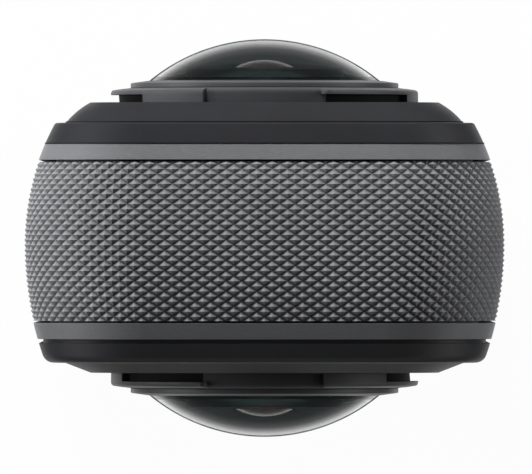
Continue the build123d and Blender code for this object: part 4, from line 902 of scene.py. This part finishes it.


# Shadow seams: thin black strips of painted shadow round the foot of the front island and between cover and
# frame

def section_outline(part, y):
    """Outer outline of a CAD piece where a plane at depth y cuts it, and its middle."""
    mesh = bmesh.new()
    mesh.from_mesh(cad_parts[part].data)
    bmesh.ops.remove_doubles(mesh, verts=mesh.verts, dist=1e-6)
    cut = bmesh.ops.bisect_plane(mesh, geom=mesh.faces[:] + mesh.edges[:] + mesh.verts[:], dist=1e-7,
                                 plane_co=(0, y, 0), plane_no=(0, 1, 0))
    rims = {edge for edge in cut["geom_cut"] if isinstance(edge, bmesh.types.BMEdge)}
    bmesh.ops.delete(mesh, geom=mesh.faces[:], context="FACES_ONLY")
    bmesh.ops.delete(mesh, geom=[edge for edge in mesh.edges if edge not in rims], context="EDGES")
    start = max(mesh.verts, key=lambda vert: vert.co.x)
    outer, waiting = {start}, [start]
    while waiting:
        for edge in waiting.pop().link_edges:
            for vert in edge.verts:
                if vert not in outer:
                    outer.add(vert)
                    waiting.append(vert)
    bmesh.ops.delete(mesh, geom=[vert for vert in mesh.verts if vert not in outer], context="VERTS")
    heights = [vert.co.z for vert in mesh.verts]
    return mesh, Vector((0, y, (min(heights) + max(heights)) / 2))


def painted_shadow_seam(name, part, y, height):
    """Closed thin black strip of painted shadow that stands a hair proud of a CAD piece all round."""
    mesh, middle = section_outline(part, y)
    reach_x = max(vert.co.x for vert in mesh.verts)
    first = ring = mesh.edges[:]
    bmesh.ops.scale(mesh, verts=mesh.verts, vec=Vector((1, 1, 1)) * (1 + SEAM_PROUD / reach_x),
                    space=Matrix.Translation(-middle))
    for move, size in ((height, 1.0), (0.0, 1 - (SEAM_PROUD + SEAM_DEPTH) / reach_x), (-height, 1.0)):
        made = bmesh.ops.extrude_edge_only(mesh, edges=ring)["geom"]
        fresh = [item for item in made if isinstance(item, bmesh.types.BMVert)]
        ring = [
            item for item in made
            if isinstance(item, bmesh.types.BMEdge) and item.verts[0] in fresh and item.verts[1] in fresh
        ]
        bmesh.ops.translate(mesh, verts=fresh, vec=(0, move, 0))
        bmesh.ops.scale(mesh, verts=fresh, vec=Vector((size, 1, size)), space=Matrix.Translation(-middle))
    bmesh.ops.bridge_loops(mesh, edges=first + ring)
    piece(name, mesh, "camera_body", seal_rubber, "seal_black")


painted_shadow_seam("island_painted_shadow", "front_cover", ISLAND_SEAM_Y, SEAM_HEIGHT)
painted_shadow_seam("front_cover_painted_shadow", "front_cover", COVER_SEAM_Y, SEAM_HEIGHT)


# Stage: pale floor, white backdrop and soft light

def backdrop_rays(tree):
    """Three masks: rays from the camera, these and rays through glass, and these and reflections."""
    path = tree.nodes.new("ShaderNodeLightPath")
    direct = path.outputs["Is Camera Ray"]
    straight = calculated(tree, "MAXIMUM", direct, path.outputs["Is Transmission Ray"])
    return direct, straight, calculated(tree, "MAXIMUM", straight, path.outputs["Is Glossy Ray"])


floor_mesh = bmesh.new()
bmesh.ops.create_grid(floor_mesh, x_segments=8, y_segments=8, size=FLOOR_HALF)
bmesh.ops.translate(floor_mesh, verts=floor_mesh.verts, vec=(0, 0, -FLOOR_DROP))
floor_data = bpy.data.meshes.new("floor")
floor_mesh.to_mesh(floor_data)
floor_mesh.free()
floor = bpy.data.objects.new("floor", floor_data)
scene.collection.objects.link(floor)
paper = bpy.data.materials.new("floor_paper")
paper.use_nodes = True
tree = paper.node_tree
shader = tree.nodes["Principled BSDF"]
shader.inputs["Base Color"].default_value = (0.86, 0.86, 0.86, 1.0)
shader.inputs["Roughness"].default_value = 0.9
direct, _, seen = backdrop_rays(tree)
place = tree.nodes.new("ShaderNodeTexCoord")
away = tree.nodes.new("ShaderNodeVectorMath")
away.operation = "LENGTH"
tree.links.new(place.outputs["Object"], away.inputs[0])
# Painted shadow under the object and a painted ring of light round it, on the floor as reflections and glass
# see it
painted_shadow_and_light = tree.nodes.new("ShaderNodeValToRGB")
tree.links.new(spread(tree, away.outputs["Value"], 0.0, 1.0, 0.0, POOL_REACH), painted_shadow_and_light.inputs["Fac"])
for position, level in PAINTED_SHADOW_AND_LIGHT_LEVELS:
    stop = painted_shadow_and_light.color_ramp.elements.new(position)
    stop.color = (level, level, level, 1.0)
painted_shadow_and_light.color_ramp.elements.remove(painted_shadow_and_light.color_ramp.elements[-1])
painted_shadow_and_light.color_ramp.elements[0].color = (*[PAINTED_SHADOW_AND_LIGHT_LEVELS[0][1]] * 3, 1.0)
glow = tree.nodes.new("ShaderNodeEmission")
tree.links.new(calculated(tree, "MAXIMUM", direct, painted_shadow_and_light.outputs["Color"]), glow.inputs["Strength"])
mix = tree.nodes.new("ShaderNodeMixShader")
tree.links.new(calculated(tree, "MULTIPLY", seen, FLOOR_GLOW_SHARE), mix.inputs[0])
tree.links.new(shader.outputs[0], mix.inputs[1])
tree.links.new(glow.outputs[0], mix.inputs[2])
tree.links.new(mix.outputs[0], tree.nodes["Material Output"].inputs["Surface"])
floor_data.materials.append(paper)

# Walls that fade to a dim ceiling, brighter at the sides, as reflections see them
world = bpy.data.worlds.new("studio")
scene.world = world
world.use_nodes = True
tree = world.node_tree
ambient = tree.nodes["Background"]
ambient.inputs["Color"].default_value = (1.0, 1.0, 1.0, 1.0)
ambient.inputs["Strength"].default_value = AMBIENT
_, straight, seen = backdrop_rays(tree)
place = tree.nodes.new("ShaderNodeTexCoord")
parts = tree.nodes.new("ShaderNodeSeparateXYZ")
tree.links.new(place.outputs["Generated"], parts.inputs[0])
wall = spread(tree, parts.outputs["Z"], WALL, CEILING, 0.03, 0.45)
sideways = spread(tree, calculated(tree, "ABSOLUTE", parts.outputs["X"]), 0.0, SIDE_WALL, 0.45, 0.85)
low_down = spread(tree, parts.outputs["Z"], 1.0, 0.0, 0.35, 0.60)
wall = calculated(tree, "MAXIMUM", wall, calculated(tree, "MULTIPLY", sideways, low_down))
white = tree.nodes.new("ShaderNodeBackground")
white.inputs["Color"].default_value = (1.0, 1.0, 1.0, 1.0)
tree.links.new(calculated(tree, "MAXIMUM", straight, wall), white.inputs["Strength"])
mix = tree.nodes.new("ShaderNodeMixShader")
tree.links.new(seen, mix.inputs[0])
tree.links.new(ambient.outputs[0], mix.inputs[1])
tree.links.new(white.outputs[0], mix.inputs[2])
tree.links.new(mix.outputs[0], tree.nodes["World Output"].inputs["Surface"])


def soft_box(name, place, width, height, level, aim=(0, 0, 0.08)):
    """Area light, out of sight of gloss and glass, that lights a facing white surface to about a level."""
    light = bpy.data.lights.new(name, "AREA")
    light.shape = "RECTANGLE"
    light.size, light.size_y = width, height
    throw = Vector(aim) - Vector(place)
    light.energy = level * math.pi**2 * throw.length_squared
    lamp = bpy.data.objects.new(name, light)
    lamp.location = place
    lamp.rotation_euler = throw.to_track_quat("-Z", "Y").to_euler()
    lamp.visible_glossy = False
    lamp.visible_transmission = False
    scene.collection.objects.link(lamp)


soft_box("key_light", (-0.26, 0.72, 0.40), 0.40, 0.25, 1.46)
soft_box("left_light", (-0.70, 0.05, 0.22), 0.40, 0.40, 0.74)
soft_box("right_light", (0.70, 0.10, 0.20), 0.30, 0.30, 0.48)
soft_box("rear_light", (0.10, -0.75, 0.03), 0.60, 0.10, 0.14)


# Camera

view_centre = Vector((0.14 * MM, 0.10 * MM, 112.0 * MM))
lens = bpy.data.cameras.new("camera")
lens.lens = LENS_LENGTH
lens.sensor_width = SENSOR_WIDTH
lens.clip_end = 10.0
viewer = bpy.data.objects.new("camera", lens)
viewer.location = view_centre + Vector((0, 0, PICTURE_WIDTH * PIXEL * LENS_LENGTH / SENSOR_WIDTH))
scene.collection.objects.link(viewer)
scene.camera = viewer
